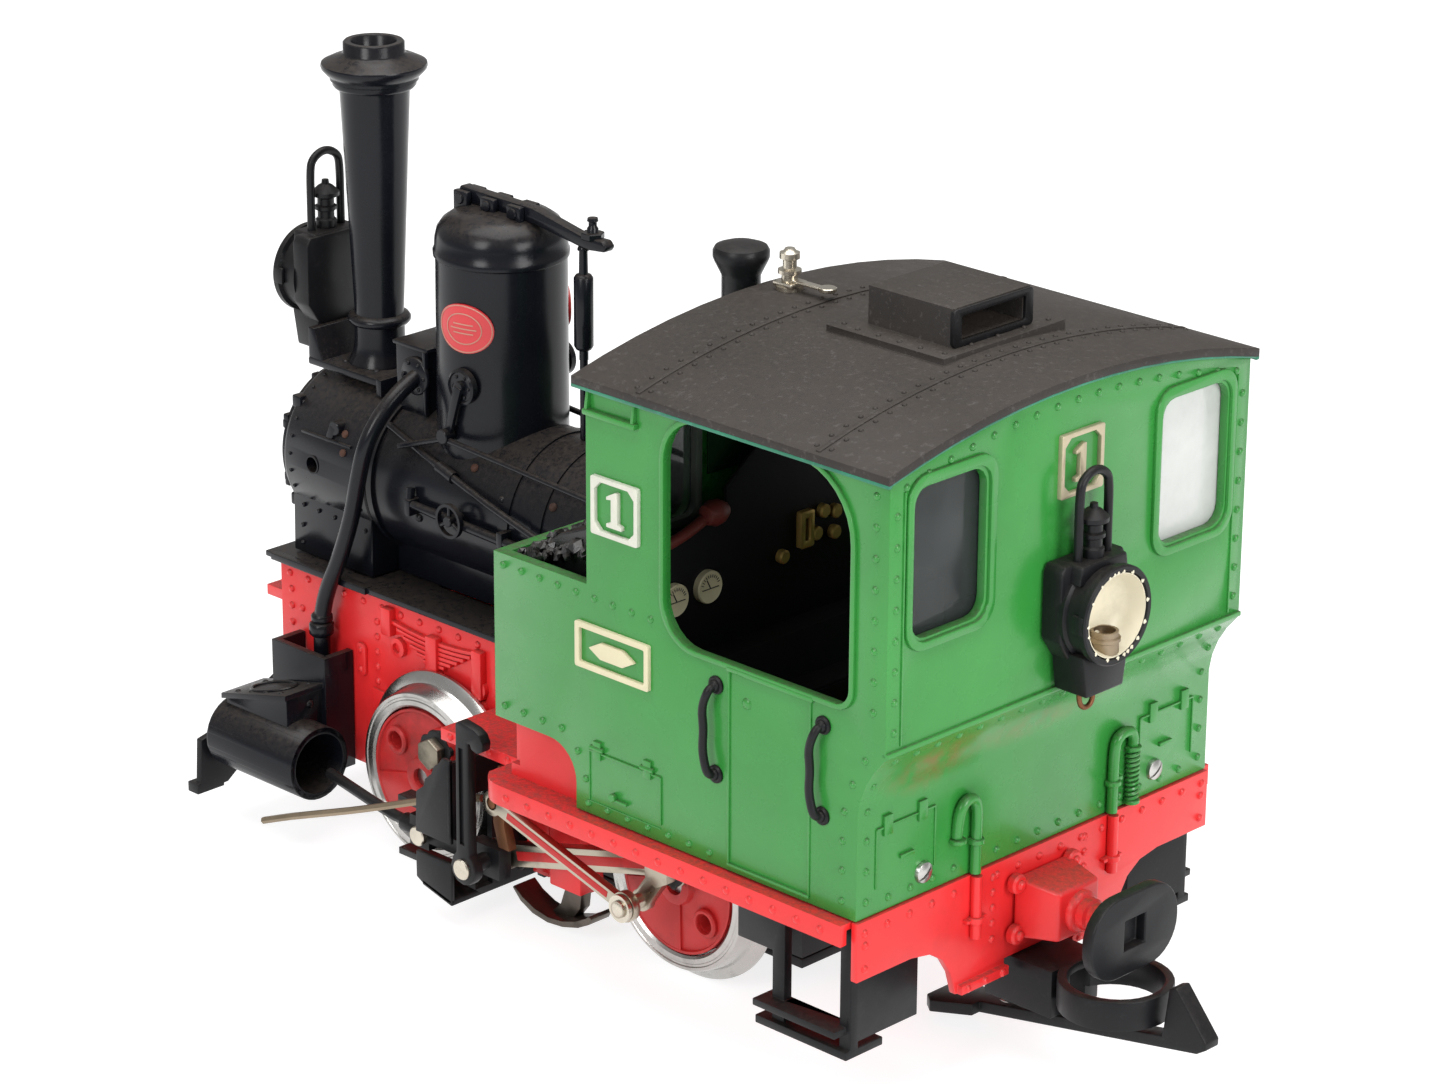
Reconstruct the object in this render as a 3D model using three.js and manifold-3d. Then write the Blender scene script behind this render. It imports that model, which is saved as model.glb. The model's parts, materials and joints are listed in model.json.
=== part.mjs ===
// A garden-railway model of a small four-wheeled tank engine, in millimetres.
// +X points to the chimney, +Y to the engine's left side and +Z up.
// Inside the group, x = 0 is the lower rear face of the cab, y = 0 the centre line and
// z = 0 the top of the footplate. The group is then shifted, so that the finished part has
// its origin at the middle of its underside, where the wheel flanges stand.
import * as THREE from "three";
import { mergeVertices } from "three/addons/utils/BufferGeometryUtils.js";
import Module from "manifold-3d";

const wasm = await Module();
wasm.setup();

// ---- driving dimensions ----
const GAP = 0.3; // clearance between neighbouring pieces
const CAB_HALF = 48; // cab and side tanks, half width
const WALL = 1.8; // moulded wall thickness
const LEDGE_Z = 33.2; // rear overhang starts here
const OVERHANG = 6.2; // how far the upper rear wall stands back
const CAB_FRONT = 66.8;
const TANK_FRONT = 91.3;
const TANK_TOP = 44.7;
const TANK_FLOOR = 12;
const TANK_INNER = 19.5; // inner wall of a side tank
const ROOF_EDGE_Z = 83.9;
const ROOF_RISE = 6.5;
const ROOF_HALF = 49.4;
const ROOF_BACK = -7.1;
const ROOF_FRONT = 69.1;
const ROOF_THICK = 1.6;
const SILL_HALF = 50.6; // outer edge of the footplate
const FRAME_HALF = 18.5; // outer faces of the frame sides
const FRAME_FRONT = 186.8;
const BOILER_Z = 31.4; // axis of boiler and smokebox
const SMOKEBOX_R = 17.4;
const SMOKEBOX_BACK = 162;
const SMOKEBOX_FRONT = 188;
const DECK_Z = 11; // top of the running plate beside the boiler
const CHIMNEY_X = 176;
const CHIMNEY_TOP = 116.3;
const DOME_X = 139.5;
const DOME_R = 13;
const FRONT_AXLE_X = 136.4;
const REAR_AXLE_X = 66;
const AXLE_Z = -21.1;
const FLANGE_R = 20.5;
const TREAD_R = 17.4;
const DISC_R = 14.4;
const WHEEL_BACK = 20; // back-to-back is twice this
const WHEEL_FACE = 26;
const AXLE_R = 2;
const CRANK_R = 9.8; // crank throw
const CRANK_ANGLE = 127; // left cranks, degrees from +X towards +Z
const QUARTER = 90; // the right cranks are a quarter turn on
const CYLINDER_BACK = 160;
const CYLINDER_FRONT = 186;
const CYLINDER_Y = 32.5;
const CYLINDER_Z = -23.3;
const CYLINDER_R = 7.6;
const ROD_LENGTH = 48.5; // crank pin to crosshead pin
const CROSSHEAD_Z = -26;
const ROD_IN = 30.4; // planes of the motion, inboard to outboard
const ROD_OUT = 33.2;
const CROSS_IN = 33.6;
const CROSS_OUT = 36.8;
const LEVER_IN = 40.2;
const LEVER_OUT = 42.6;
const ECC_IN = 38.2;
const ECC_OUT = 39.8;
const LINK_X = 101;
const LINK_Z = -9;
const BUFFER_Z = -10;
const HOOK_TIP = -41.7;
const HOOK_LOW = -27.4; // underside of the hook lever at its tip
const HOOK_LEAN = 10.5; // degrees
const LOOP_X = -19.4;
const LOOP_LOW = -26;
const LOOP_HIGH = -20.2;
const POCKET_LOW = -29.6;
const FRONT_LAMP_X = 187.6;
const LAMP_DEPTH = 10.4;
const NOSE = FRONT_LAMP_X + LAMP_DEPTH; // rim of the front lamp, the foremost point

const GREEN = 0x3f9a48;
const RED = 0xc8322f;
const BLACK = 0x1d1e20;
const ROOF_BLACK = 0x2f2c2a;
const STEEL = 0xb9b9b4;
const NICKEL = 0xc9c3b4;
const BRONZE = 0x8f7a5e;
const COPPER = 0x6b4a33;

// ---- shape helpers ----
// A closed three.js geometry becomes a solid.
function solid(geometry) {
  const bare = geometry.index ? geometry.toNonIndexed() : geometry.clone();
  bare.deleteAttribute("normal");
  bare.deleteAttribute("uv");
  const merged = mergeVertices(bare, 1e-4);
  const mesh = new wasm.Mesh({
    numProp: 3,
    vertProperties: new Float32Array(merged.attributes.position.array),
    triVerts: new Uint32Array(merged.index.array),
  });
  return new wasm.Manifold(mesh);
}

// The other way round, for three.js.
function geometryOf(body) {
  const mesh = body.getMesh();
  const geometry = new THREE.BufferGeometry();
  geometry.setAttribute("position", new THREE.BufferAttribute(mesh.vertProperties.slice(), 3));
  geometry.setIndex(new THREE.BufferAttribute(mesh.triVerts.slice(), 1));
  geometry.computeVertexNormals();
  return geometry;
}

const join = (...bodies) => bodies.reduce((all, body) => all.add(body));
const cut = (body, ...tools) => tools.reduce((left, tool) => left.subtract(tool), body);

function box(x0, x1, y0, y1, z0, z1) {
  const geometry = new THREE.BoxGeometry(x1 - x0, y1 - y0, z1 - z0);
  geometry.translate((x0 + x1) / 2, (y0 + y1) / 2, (z0 + z1) / 2);
  return solid(geometry);
}

// A round bar along an axis, from one place on it to another; r2 is its radius at the far end.
function round(axis, from, to, a, b, r, { r2 = r, sides = 24 } = {}) {
  const geometry = new THREE.CylinderGeometry(r2, r, to - from, sides);
  const middle = (from + to) / 2;
  if (axis === "x") {
    geometry.rotateZ(-Math.PI / 2);
    geometry.translate(middle, a, b);
  } else if (axis === "y") {
    geometry.translate(a, middle, b);
  } else {
    geometry.rotateX(Math.PI / 2);
    geometry.translate(a, b, middle);
  }
  return solid(geometry);
}

// A turned shape about a vertical axis at x, y, from [radius, z] points.
function turned(points, x, y, sides = 32) {
  const profile = points.map(([r, z]) => new THREE.Vector2(r, z));
  const geometry = new THREE.LatheGeometry(profile, sides);
  geometry.rotateX(Math.PI / 2);
  geometry.translate(x, y, 0);
  return solid(geometry);
}

// A turned shape about an axis along Y, from [radius, y] points; side -1 mirrors it.
function turnedY(points, x, z, side, sides = 32) {
  const ordered = side > 0 ? points : points.map(([r, y]) => [r, -y]).reverse();
  const profile = ordered.map(([r, y]) => new THREE.Vector2(r, y));
  const geometry = new THREE.LatheGeometry(profile, sides);
  geometry.translate(x, 0, z);
  return solid(geometry);
}

// A plate of any outline: the outline lies across the axis, from one place on it to another.
function plate(axis, from, to, outline, steps = 3) {
  const shape = outline instanceof THREE.Shape ? outline : new THREE.Shape(
    outline.map(([u, v]) => new THREE.Vector2(u, v)));
  const geometry = new THREE.ExtrudeGeometry(shape, {
    depth: to - from, bevelEnabled: false, curveSegments: steps });
  if (axis === "x") {
    geometry.applyMatrix4(new THREE.Matrix4().makeBasis(
      new THREE.Vector3(0, 1, 0), new THREE.Vector3(0, 0, 1), new THREE.Vector3(1, 0, 0)));
    geometry.translate(from, 0, 0);
  } else if (axis === "y") {
    geometry.rotateX(Math.PI / 2);
    geometry.translate(0, to, 0);
  } else {
    geometry.translate(0, 0, from);
  }
  return solid(geometry);
}

// A rectangle with round corners; radii start at the low corner and go anticlockwise.
function rounded(u0, u1, v0, v1, radii) {
  const [a, b, c, d] = Array.isArray(radii) ? radii : [radii, radii, radii, radii];
  const shape = new THREE.Shape();
  shape.moveTo(u0 + a, v0);
  shape.lineTo(u1 - b, v0);
  shape.absarc(u1 - b, v0 + b, b, -Math.PI / 2, 0);
  shape.lineTo(u1, v1 - c);
  shape.absarc(u1 - c, v1 - c, c, 0, Math.PI / 2);
  shape.lineTo(u0 + d, v1);
  shape.absarc(u0 + d, v1 - d, d, Math.PI / 2, Math.PI);
  shape.lineTo(u0, v0 + a);
  shape.absarc(u0 + a, v0 + a, a, Math.PI, Math.PI * 1.5);
  return shape;
}

// A round rod along a smooth route.
function rodAlong(points, radius, { steps = 16, sides = 8 } = {}) {
  const route = new THREE.CatmullRomCurve3(points.map((p) => new THREE.Vector3(...p)));
  const section = new THREE.Shape();
  section.absarc(0, 0, radius, 0, Math.PI * 2);
  const geometry = new THREE.ExtrudeGeometry(section, {
    steps, curveSegments: sides / 2, extrudePath: route });
  return solid(geometry);
}

// A flat link between two eyes, in the X-Z plane, between two places on Y.
function linkBar(x0, z0, x1, z1, eye0, eye1, waist, yIn, yOut) {
  const length = Math.hypot(x1 - x0, z1 - z0);
  const turn = Math.atan2(z1 - z0, x1 - x0);
  const shape = new THREE.Shape();
  const a0 = Math.asin(waist / eye0);
  const a1 = Math.asin(waist / eye1);
  shape.absarc(0, 0, eye0, a0, Math.PI * 2 - a0);
  shape.absarc(length, 0, eye1, Math.PI + a1, Math.PI * 3 - a1);
  const geometry = new THREE.ExtrudeGeometry(shape, {
    depth: Math.abs(yOut - yIn), bevelEnabled: false, curveSegments: 7 });
  geometry.rotateX(Math.PI / 2);
  geometry.rotateY(-turn);
  geometry.translate(x0, Math.max(yIn, yOut), z0);
  return solid(geometry);
}

const group = new THREE.Group();
group.position.set(-(HOOK_TIP + NOSE) / 2, 0, FLANGE_R - AXLE_Z);

function piece(name, body, colour, metalness = 0, roughness = 0.45) {
  const mesh = new THREE.Mesh(geometryOf(body),
    new THREE.MeshStandardMaterial({ color: colour, metalness, roughness }));
  mesh.name = name;
  group.add(mesh);
}

// Y interval on the left (side 1) or right (side -1) of the engine, as [low, high].
const span = (side, inner, outer) => (side > 0 ? [inner, outer] : [-outer, -inner]);

// ---- cab and side tanks ----
const roofRadius = (ROOF_HALF ** 2 + ROOF_RISE ** 2) / (2 * ROOF_RISE);
const roofCentreZ = ROOF_EDGE_Z + ROOF_RISE - roofRadius;

function cabSideOutline(inset) {
  const shape = new THREE.Shape();
  shape.moveTo(inset, -1);
  shape.lineTo(69.8 - inset, -1);
  shape.lineTo(69.8 - inset, 5);
  shape.absarc(76.8 + inset, 5, 7 + 2 * inset, Math.PI, Math.PI / 2, true);
  shape.lineTo(76.8 + inset, TANK_FLOOR + inset);
  shape.lineTo(TANK_FRONT - inset, TANK_FLOOR + inset);
  shape.lineTo(TANK_FRONT - inset, TANK_TOP - inset);
  shape.lineTo(CAB_FRONT - inset, TANK_TOP - inset);
  shape.lineTo(CAB_FRONT - inset, 95);
  shape.lineTo(-OVERHANG + inset, 95);
  shape.lineTo(-OVERHANG + inset, LEDGE_Z - 1);
  shape.quadraticCurveTo(inset - 0.6, 26.5, inset, 20);
  shape.closePath();
  return shape;
}

function sideOpening() {
  return rounded(1.9, 47.2, 39.4, 82.1, [3.5, 8, 9, 13]);
}

function cabBody() {
  const outer = plate("y", -CAB_HALF, CAB_HALF, cabSideOutline(0), 4);
  const headroom = round("x", -20, 120, 0, roofCentreZ, roofRadius - ROOF_THICK - GAP, { sides: 144 });
  const floorUp = box(-20, 120, -60, 60, 0, 60);
  const shell = outer.intersect(headroom.add(floorUp)).intersect(box(-20, 120, -60, 60, 0, 100));
  const inside = box(-0.2 + WALL, CAB_FRONT - WALL, -CAB_HALF + WALL, CAB_HALF - WALL, -2, 100)
    .add(box(-OVERHANG + WALL, 10, -CAB_HALF + WALL, CAB_HALF - WALL, LEDGE_Z + 1, 100));
  const boilerWay = box(CAB_FRONT - 5, 100, -TANK_INNER, TANK_INNER, -2, 100);
  const tanks = [1, -1].map((side) => {
    const [low, high] = span(side, TANK_INNER + WALL, CAB_HALF - WALL);
    return box(CAB_FRONT - 5, TANK_FRONT - WALL, low, high, TANK_FLOOR + WALL, TANK_TOP - 4.5)
      .add(box(CAB_FRONT + GAP, TANK_FRONT - 2.4, low + 0.6, high - 0.6, TANK_FLOOR + WALL, 60));
  });
  const frontWall = box(CAB_FRONT - WALL, CAB_FRONT, -TANK_INNER - 1, TANK_INNER + 1, 0.6, 80)
    .subtract(round("x", 60, 70, 0, BOILER_Z, SMOKEBOX_R + 1, { sides: 48 }))
    .subtract(box(60, 70, -SMOKEBOX_R - 1, SMOKEBOX_R + 1, -1, BOILER_Z));
  const openings = [1, -1].map((side) => {
    const [low, high] = span(side, CAB_HALF - 4, CAB_HALF + 4);
    return plate("y", low, high, sideOpening(), 3);
  });
  const windows = [1, -1].flatMap((side) => {
    const [low, high] = span(side, 23.5, 42);
    const pane = rounded(low, high, 52.3, 79.6, 3.4);
    return [plate("x", -10, 2, pane, 2), plate("x", CAB_FRONT - 4, CAB_FRONT + 2, pane, 2)];
  });
  const roofLine = frontWall.intersect(headroom.add(floorUp));
  return join(cut(shell, inside, boilerWay, ...tanks), roofLine).subtract(openings[0])
    .subtract(openings[1]).subtract(windows[0]).subtract(windows[1]).subtract(windows[2])
    .subtract(windows[3]);
}

function roof() {
  const upper = round("x", ROOF_BACK, ROOF_FRONT, 0, roofCentreZ, roofRadius, { sides: 144 });
  const lower = round("x", -20, 120, 0, roofCentreZ, roofRadius - ROOF_THICK, { sides: 144 });
  const skin = upper.subtract(lower).intersect(box(-20, 120, -ROOF_HALF, ROOF_HALF, 60, 100));
  const ventBase = box(14, 42, -20, 12.5, 88.4, 91.2);
  const vent = box(17, 37, -13.6, 7, 90, 98.4);
  const scoop = box(16, 34.5, -11.6, 5, 92.4, 96.9);
  const eye = round("z", 88.4, 91, 62.9, 0, 2.4);
  return join(skin, ventBase, vent, eye).subtract(scoop);
}

function backhead() {
  const front = round("x", 59, CAB_FRONT - WALL - GAP, 0, BOILER_Z, SMOKEBOX_R + 6, { sides: 40 });
  const base = box(50, CAB_FRONT - WALL - GAP, -30, 30, 0.8, 30);
  const shelf = box(44, CAB_FRONT - WALL - GAP, -CAB_HALF + WALL + GAP, CAB_HALF - WALL - GAP, 0.8, 20);
  const firebox = box(56, CAB_FRONT - WALL - GAP, -24, 24, 20, 50);
  return join(front, base, shelf, firebox).intersect(box(0, 100, -60, 60, 0.8, 70));
}

piece("cab_body", cabBody(), GREEN);
piece("cab_roof", roof(), ROOF_BLACK, 0, 0.8);
piece("backhead", backhead(), BLACK);

// ---- lamps ----
// dir is +1 where the lamp faces the chimney end, -1 where it faces the cab end.
function lamp(backX, footZ, dir) {
  const at = (near, far) => (dir > 0 ? [backX + near, backX + far] : [backX - far, backX - near]);
  const centreZ = footZ + 15;
  const house = plate("x", ...at(0, 5), rounded(-8.6, 8.6, centreZ - 9.5, centreZ + 9.4, [3, 3, 1.2, 1.2]), 1);
  const foot = plate("x", ...at(0.6, 8), [[-5, footZ], [5, footZ], [7.4, centreZ - 7], [-7.4, centreZ - 7]]);
  const drum = round("x", ...at(3, LAMP_DEPTH), 0, centreZ, 9.2, { sides: 24 });
  const bowl = round("x", ...at(4.2, LAMP_DEPTH + 1), 0, centreZ, 7.8, { sides: 24 });
  const stemX = backX + 4 * dir;
  const stack = turned([[0, centreZ + 8], [2, centreZ + 8], [2, centreZ + 16.4], [2.9, centreZ + 16.4],
    [2.9, centreZ + 17.6], [1, centreZ + 19.6], [0, centreZ + 19.6]], stemX, 0, 10);
  const legZ = centreZ + 8.5;
  const topZ = centreZ + 21;
  const bail = rodAlong([[stemX, -4, legZ], [stemX, -4, topZ], [stemX, -2.8, topZ + 3], [stemX, 0, topZ + 4.2],
    [stemX, 2.8, topZ + 3], [stemX, 4, topZ], [stemX, 4, legZ]], 0.9, { steps: 12, sides: 6 });
  return join(cut(join(house, foot, drum), bowl), stack, bail);
}

piece("rear_lamp", lamp(-OVERHANG - GAP, LEDGE_Z + GAP, -1), BLACK);
piece("front_lamp", lamp(FRONT_LAMP_X, 50.4, 1), BLACK);

// ---- boiler, smokebox and their fittings ----
function boiler() {
  const barrel = round("x", CAB_FRONT + GAP, SMOKEBOX_BACK - GAP, 0, BOILER_Z, SMOKEBOX_R - 0.9, { sides: 40 });
  const firebox = box(CAB_FRONT + GAP, 90, -14, 14, DECK_Z + 3, BOILER_Z);
  const seat = box(94, SMOKEBOX_BACK - GAP, -9, 9, DECK_Z + GAP, 22);
  const turret = turned([[0, 44], [3.65, 44], [3.65, 91], [5.3, 93.6], [5.3, 95.4], [3.4, 96.6], [0, 96.8]], 75.2, 0, 20);
  const fountain = box(152.9, SMOKEBOX_BACK - GAP, -8.2, 8.2, 40, 59.7);
  const domeHole = round("z", 30, 80, DOME_X, 0, DOME_R + GAP, { sides: 48 })
    .intersect(box(100, 180, -20, 20, 48.3, 80));
  return cut(join(barrel, firebox, seat, turret, fountain), domeHole);
}

function dome() {
  const body = turned([[0, 40], [DOME_R, 40], [DOME_R, 80], [DOME_R + 0.4, 80.6], [DOME_R + 0.4, 82.4],
    [DOME_R, 83], [12.4, 85.6], [10.6, 87.7], [7.5, 88.9], [0, 89.4]], DOME_X, 0, 24);
  const saddle = round("x", 100, 180, 0, BOILER_Z, SMOKEBOX_R - 0.1, { sides: 40 });
  const lever = plate("y", -1.1, 1.1, [[109.6, 87.8], [114, 87], [150.5, 90.2], [150.5, 91.8], [148, 92.4],
    [130, 91.6], [109.6, 89.8]]);
  const posts = [133.5, 141, 148.4].map((x) => box(x - 1.3, x + 1.3, -1.6, 1.6, 87, 91));
  return cut(join(body, lever, ...posts), saddle);
}

function smokebox() {
  const drum = round("x", SMOKEBOX_BACK, SMOKEBOX_FRONT - 1, 0, BOILER_Z, SMOKEBOX_R, { sides: 40 });
  const saddle = box(SMOKEBOX_BACK, SMOKEBOX_FRONT - 2, -15.6, 15.6, DECK_Z + GAP, BOILER_Z);
  const shelf = box(166.5, SMOKEBOX_FRONT + 0.4, -8.5, 8.5, 47.4, 50.1);
  const inside = round("x", SMOKEBOX_BACK + 2, SMOKEBOX_FRONT + 2, 0, BOILER_Z, SMOKEBOX_R - 1.8, { sides: 40 });
  const flue = round("z", 40, 60, CHIMNEY_X, 0, 3.9);
  const peephole = round("y", 10, 20, 177.5, 31.9, 1.6, { sides: 12 });
  return cut(join(drum, saddle, shelf), inside, flue, peephole);
}

function smokeboxDoor() {
  const dish = new THREE.SphereGeometry(34, 32, 20);
  dish.translate(SMOKEBOX_FRONT + 3.2 - 34, 0, BOILER_Z);
  const door = solid(dish).intersect(round("x", SMOKEBOX_FRONT - 0.7, 200, 0, BOILER_Z, 15.6, { sides: 40 }));
  const hub = round("x", SMOKEBOX_FRONT, SMOKEBOX_FRONT + 5.2, 0, BOILER_Z, 2, { sides: 16 });
  const strap = [6.6, -6.6].map((dz) => box(SMOKEBOX_FRONT - 0.7, SMOKEBOX_FRONT + 1.2, -4, 18.6,
    BOILER_Z + dz - 1, BOILER_Z + dz + 1));
  return join(door, hub, ...strap);
}

function chimney() {
  return turned([[0, 50.4], [6.6, 50.4], [5.1, 55], [6.1, 58.6], [6.1, 60], [4.9, 61], [7, 107],
    [8.6, 107.4], [10.6, 110.6], [10.6, 112.2], [5.9, 114.4], [6.1, CHIMNEY_TOP], [4.6, CHIMNEY_TOP],
    [4.4, 104], [0, 104]],
  CHIMNEY_X, 0, 22);
}

function steamPipe(side) {
  const y = (value) => side * value;
  const bend = rodAlong([[155.4, y(8.8), 53.6], [155.6, y(12.6), 52], [156.2, y(18), 47.4], [157.2, y(21), 42],
    [158.6, y(21.8), 35], [160.6, y(21.8), 26.6], [164.6, y(21.9), 16.6], [168.4, y(21.9), 9.6],
    [170.4, y(21.8), 3.6], [170.8, y(21.8), -2], [170.8, y(21.8), -8]], 1.7,
  { steps: 16, sides: 6 });
  const collar = round("z", -2.4, 1.4, 170.8, y(21.8), 2.5, { sides: 16 });
  return join(bend, collar);
}

piece("boiler", boiler(), BLACK);
piece("steam_dome", dome(), BLACK);
piece("smokebox", smokebox(), BLACK);
piece("smokebox_door", smokeboxDoor(), BLACK);
piece("chimney", chimney(), BLACK);

// ---- footplate, frame and rear beam ----
function footplate() {
  const deck = box(1.2, 94, -SILL_HALF, SILL_HALF, -1.6, -GAP);
  const sills = [1, -1].flatMap((side) => {
    const [low, high] = span(side, SILL_HALF - 1.6, SILL_HALF);
    const [stepLow, stepHigh] = span(side, FRAME_HALF + GAP, 37.6);
    const [skirtLow, skirtHigh] = span(side, CAB_HALF - 4.6, CAB_HALF - 3);
    return [
      box(1.2, 90, low, high, -4.4, -GAP),
      box(90, 118, stepLow, stepHigh, -3.9, -1.5),
      plate("y", skirtLow, skirtHigh, [[71, -1], [TANK_FRONT - 1, -1], [TANK_FRONT - 1, TANK_FLOOR - GAP],
        [77, TANK_FLOOR - GAP], [73, 9.4], [71, 5]]),
    ];
  });
  const noses = [1, -1].map((side) => {
    const [low, high] = span(side, SILL_HALF - 1.6, SILL_HALF);
    return box(60, 95, low, high, -4.4, -GAP);
  });
  const corners = [1, -1].map((side) => round("z", -6, 2, 88, side * (SILL_HALF - 7), 7, { sides: 32 }));
  const keepFront = join(box(0, 88, -60, 60, -6, 14), box(88, 95, -SILL_HALF + 7, SILL_HALF - 7, -6, 14),
    box(88, 118, -43, 43, -6, 14), ...corners);
  const bay = box(50, 130, -15.4, 15.4, -4, 2);
  const frameWay = box(90, 130, -FRAME_HALF - GAP, FRAME_HALF + GAP, -4, 2);
  const wheelWays = [1, -1].map((side) => box(52, 80, ...span(side, WHEEL_BACK - 1, WHEEL_BACK + 3), -4, 2));
  return cut(join(deck, ...sills, ...noses).intersect(keepFront), bay, frameWay, ...wheelWays);
}

function mainFrame() {
  const outline = [[3, -2], [3, -16], [12, -19], [40, -19], [46, -26], [90, -26], [92, -28], [112, -28],
    [114, -24], [150, -24], [156, -28], [178, -28], [183, -14], [FRAME_FRONT, -10], [FRAME_FRONT, DECK_Z - 1.5],
    [95.4, DECK_Z - 1.5], [95.4, -2]];
  const sides = [1, -1].map((side) => plate("y", ...span(side, FRAME_HALF - WALL, FRAME_HALF), outline));
  const stretchers = [[3, 6, -15, -2], [95.4, 97.4, -3.4, 9], [150, 152, -7.4, 9], [FRAME_FRONT - 2, FRAME_FRONT, -9, 9]]
    .map(([x0, x1, z0, z1]) => box(x0, x1, -FRAME_HALF + 1, FRAME_HALF - 1, z0, z1));
  const hornGaps = [FRONT_AXLE_X, REAR_AXLE_X].flatMap((x) => [
    round("y", -30, 30, x, AXLE_Z, AXLE_R + 0.8, { sides: 24 }),
    box(x - AXLE_R - 0.8, x + AXLE_R + 0.8, -30, 30, -30, AXLE_Z),
  ]);
  const shoeposts = [1, -1].flatMap((side) => [98.6, 109.6].map((x) =>
    box(x - 2.2, x + 2.2, ...span(side, FRAME_HALF - WALL, FRAME_HALF + 1), -35.4, -20)));
  const nose = box(FRAME_FRONT - 1, 192, -18, 18, 0.4, 2.6);
  return cut(join(...sides, ...stretchers, ...shoeposts, nose), ...hornGaps);
}

function rearBeam() {
  const half = [[0, -0.2], [48.2, -0.2], [48.2, -11.5], [34, -11.5]];
  const arch = [[29, -12.4], [25.6, -14.6], [23.4, -18], [22, -22.6], [0, -22.6]];
  const right = [...half, ...arch];
  const left = right.slice(1, -1).map(([y, z]) => [-y, z]).reverse();
  const lip = box(-1.8, 0.9, -21.6, 21.6, -22.6, -20.8);
  const couplerWay = box(-4, 2, -8.8, 8.8, -24, LOOP_HIGH + GAP);
  return cut(join(plate("x", -0.6, 0.9, [...right, ...left]), lip), couplerWay);
}

function runningPlate() {
  const deck = box(TANK_FRONT + GAP, 190, -19.8, 19.8, DECK_Z - 1.2, DECK_Z);
  return deck.subtract(box(96, 150, -8.6, 8.6, 0, 20));
}

piece("footplate", footplate(), RED);
piece("main_frame", mainFrame(), RED);
piece("rear_beam", rearBeam(), RED);
piece("running_plate", runningPlate(), BLACK);

function cabStep(side) {
  const [low, high] = span(side, 44.4, 46.4);
  const posts = join(box(18.4, 21.4, low, high, -27, -1.9), box(2.2, 5, low, high, -27, -1.9),
    box(18.4, 30, low, high, -13, -1.9));
  const web = box(2.2, 3.8, ...span(side, 29, 46), -25, -12.2);
  const lower = box(2.2, 24.4, ...span(side, 38, 47.6), -27.8, -26.2);
  const tread = box(3.4, 23.4, ...span(side, 44, 49.4), -23.4, -22);
  return join(posts, web, lower, tread);
}
piece("cab_step_left", cabStep(1), BLACK);
piece("cab_step_right", cabStep(-1), BLACK);

function frontGuard() {
  const arms = [1, -1].map((side) => plate("x", 188.2, 189.8, (() => {
    const half = [[15, -14], [26, -20], [37, -24], [39.6, -24.6], [40.2, -35.6], [33, -35.6], [30, -33.4], [15, -28]];
    return side > 0 ? half.reverse() : half.map(([y, z]) => [-y, z]);
  })()));
  const feet = [1, -1].map((side) => box(188.2, 191.4, ...span(side, 34, 41), -36.2, -34));
  const bar = box(188.2, 189.8, -18, 18, -24, -12);
  const stay = box(187.1, 188.6, -14, 14, -24, -6);
  return join(...arms, ...feet, bar, stay);
}
piece("front_guard", frontGuard(), BLACK);

// ---- cylinders, valve chests and steam pipes ----
function cylinder(side) {
  const y = CYLINDER_Y * side;
  const barrel = round("x", CYLINDER_BACK, CYLINDER_FRONT, y, CYLINDER_Z, CYLINDER_R, { sides: 32 });
  const bore = round("x", CYLINDER_BACK - 2, CYLINDER_FRONT - 2, y, CYLINDER_Z, CYLINDER_R - 1.4, { sides: 32 });
  const block = box(164.8, 181, ...span(side, FRAME_HALF + GAP, 26.4), -29, -4);
  const well = box(166.4, 179.4, ...span(side, FRAME_HALF - 1, 24.8), -12, 0);
  const chest = plate("y", ...span(side, 25, 35.6), [[166, -20], [184.6, -20], [184.6, -14.4], [166, -9.4]]);
  const lid = plate("y", ...span(side, 25, 36.4), [[165.4, -10.4], [185.4, -15.4], [185.4, -14.2], [165.4, -9.2]]);
  return cut(join(barrel, block, chest, lid), bore, well);
}
for (const [side, word] of [[1, "left"], [-1, "right"]]) {
  piece(`cylinder_${word}`, cylinder(side), BLACK);
  piece(`steam_pipe_${word}`, steamPipe(side), BLACK);
}

// ---- wheels ----
function axle(x) {
  const shaft = round("y", -WHEEL_FACE + 0.4, WHEEL_FACE - 0.4, x, AXLE_Z, AXLE_R, { sides: 20 });
  const gear = round("y", -3, 3, x, AXLE_Z, 5.9, { sides: 22 });
  return join(shaft, gear);
}

function tyre(x, side) {
  return turnedY([[DISC_R, WHEEL_BACK], [FLANGE_R, WHEEL_BACK],
    [FLANGE_R - 0.2, WHEEL_BACK + 1.1], [TREAD_R + 0.6, WHEEL_BACK + 1.8], [TREAD_R, WHEEL_FACE - 0.4],
    [TREAD_R - 0.4, WHEEL_FACE], [DISC_R, WHEEL_FACE], [DISC_R, WHEEL_BACK]], x, AXLE_Z, side, 32);
}

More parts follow.
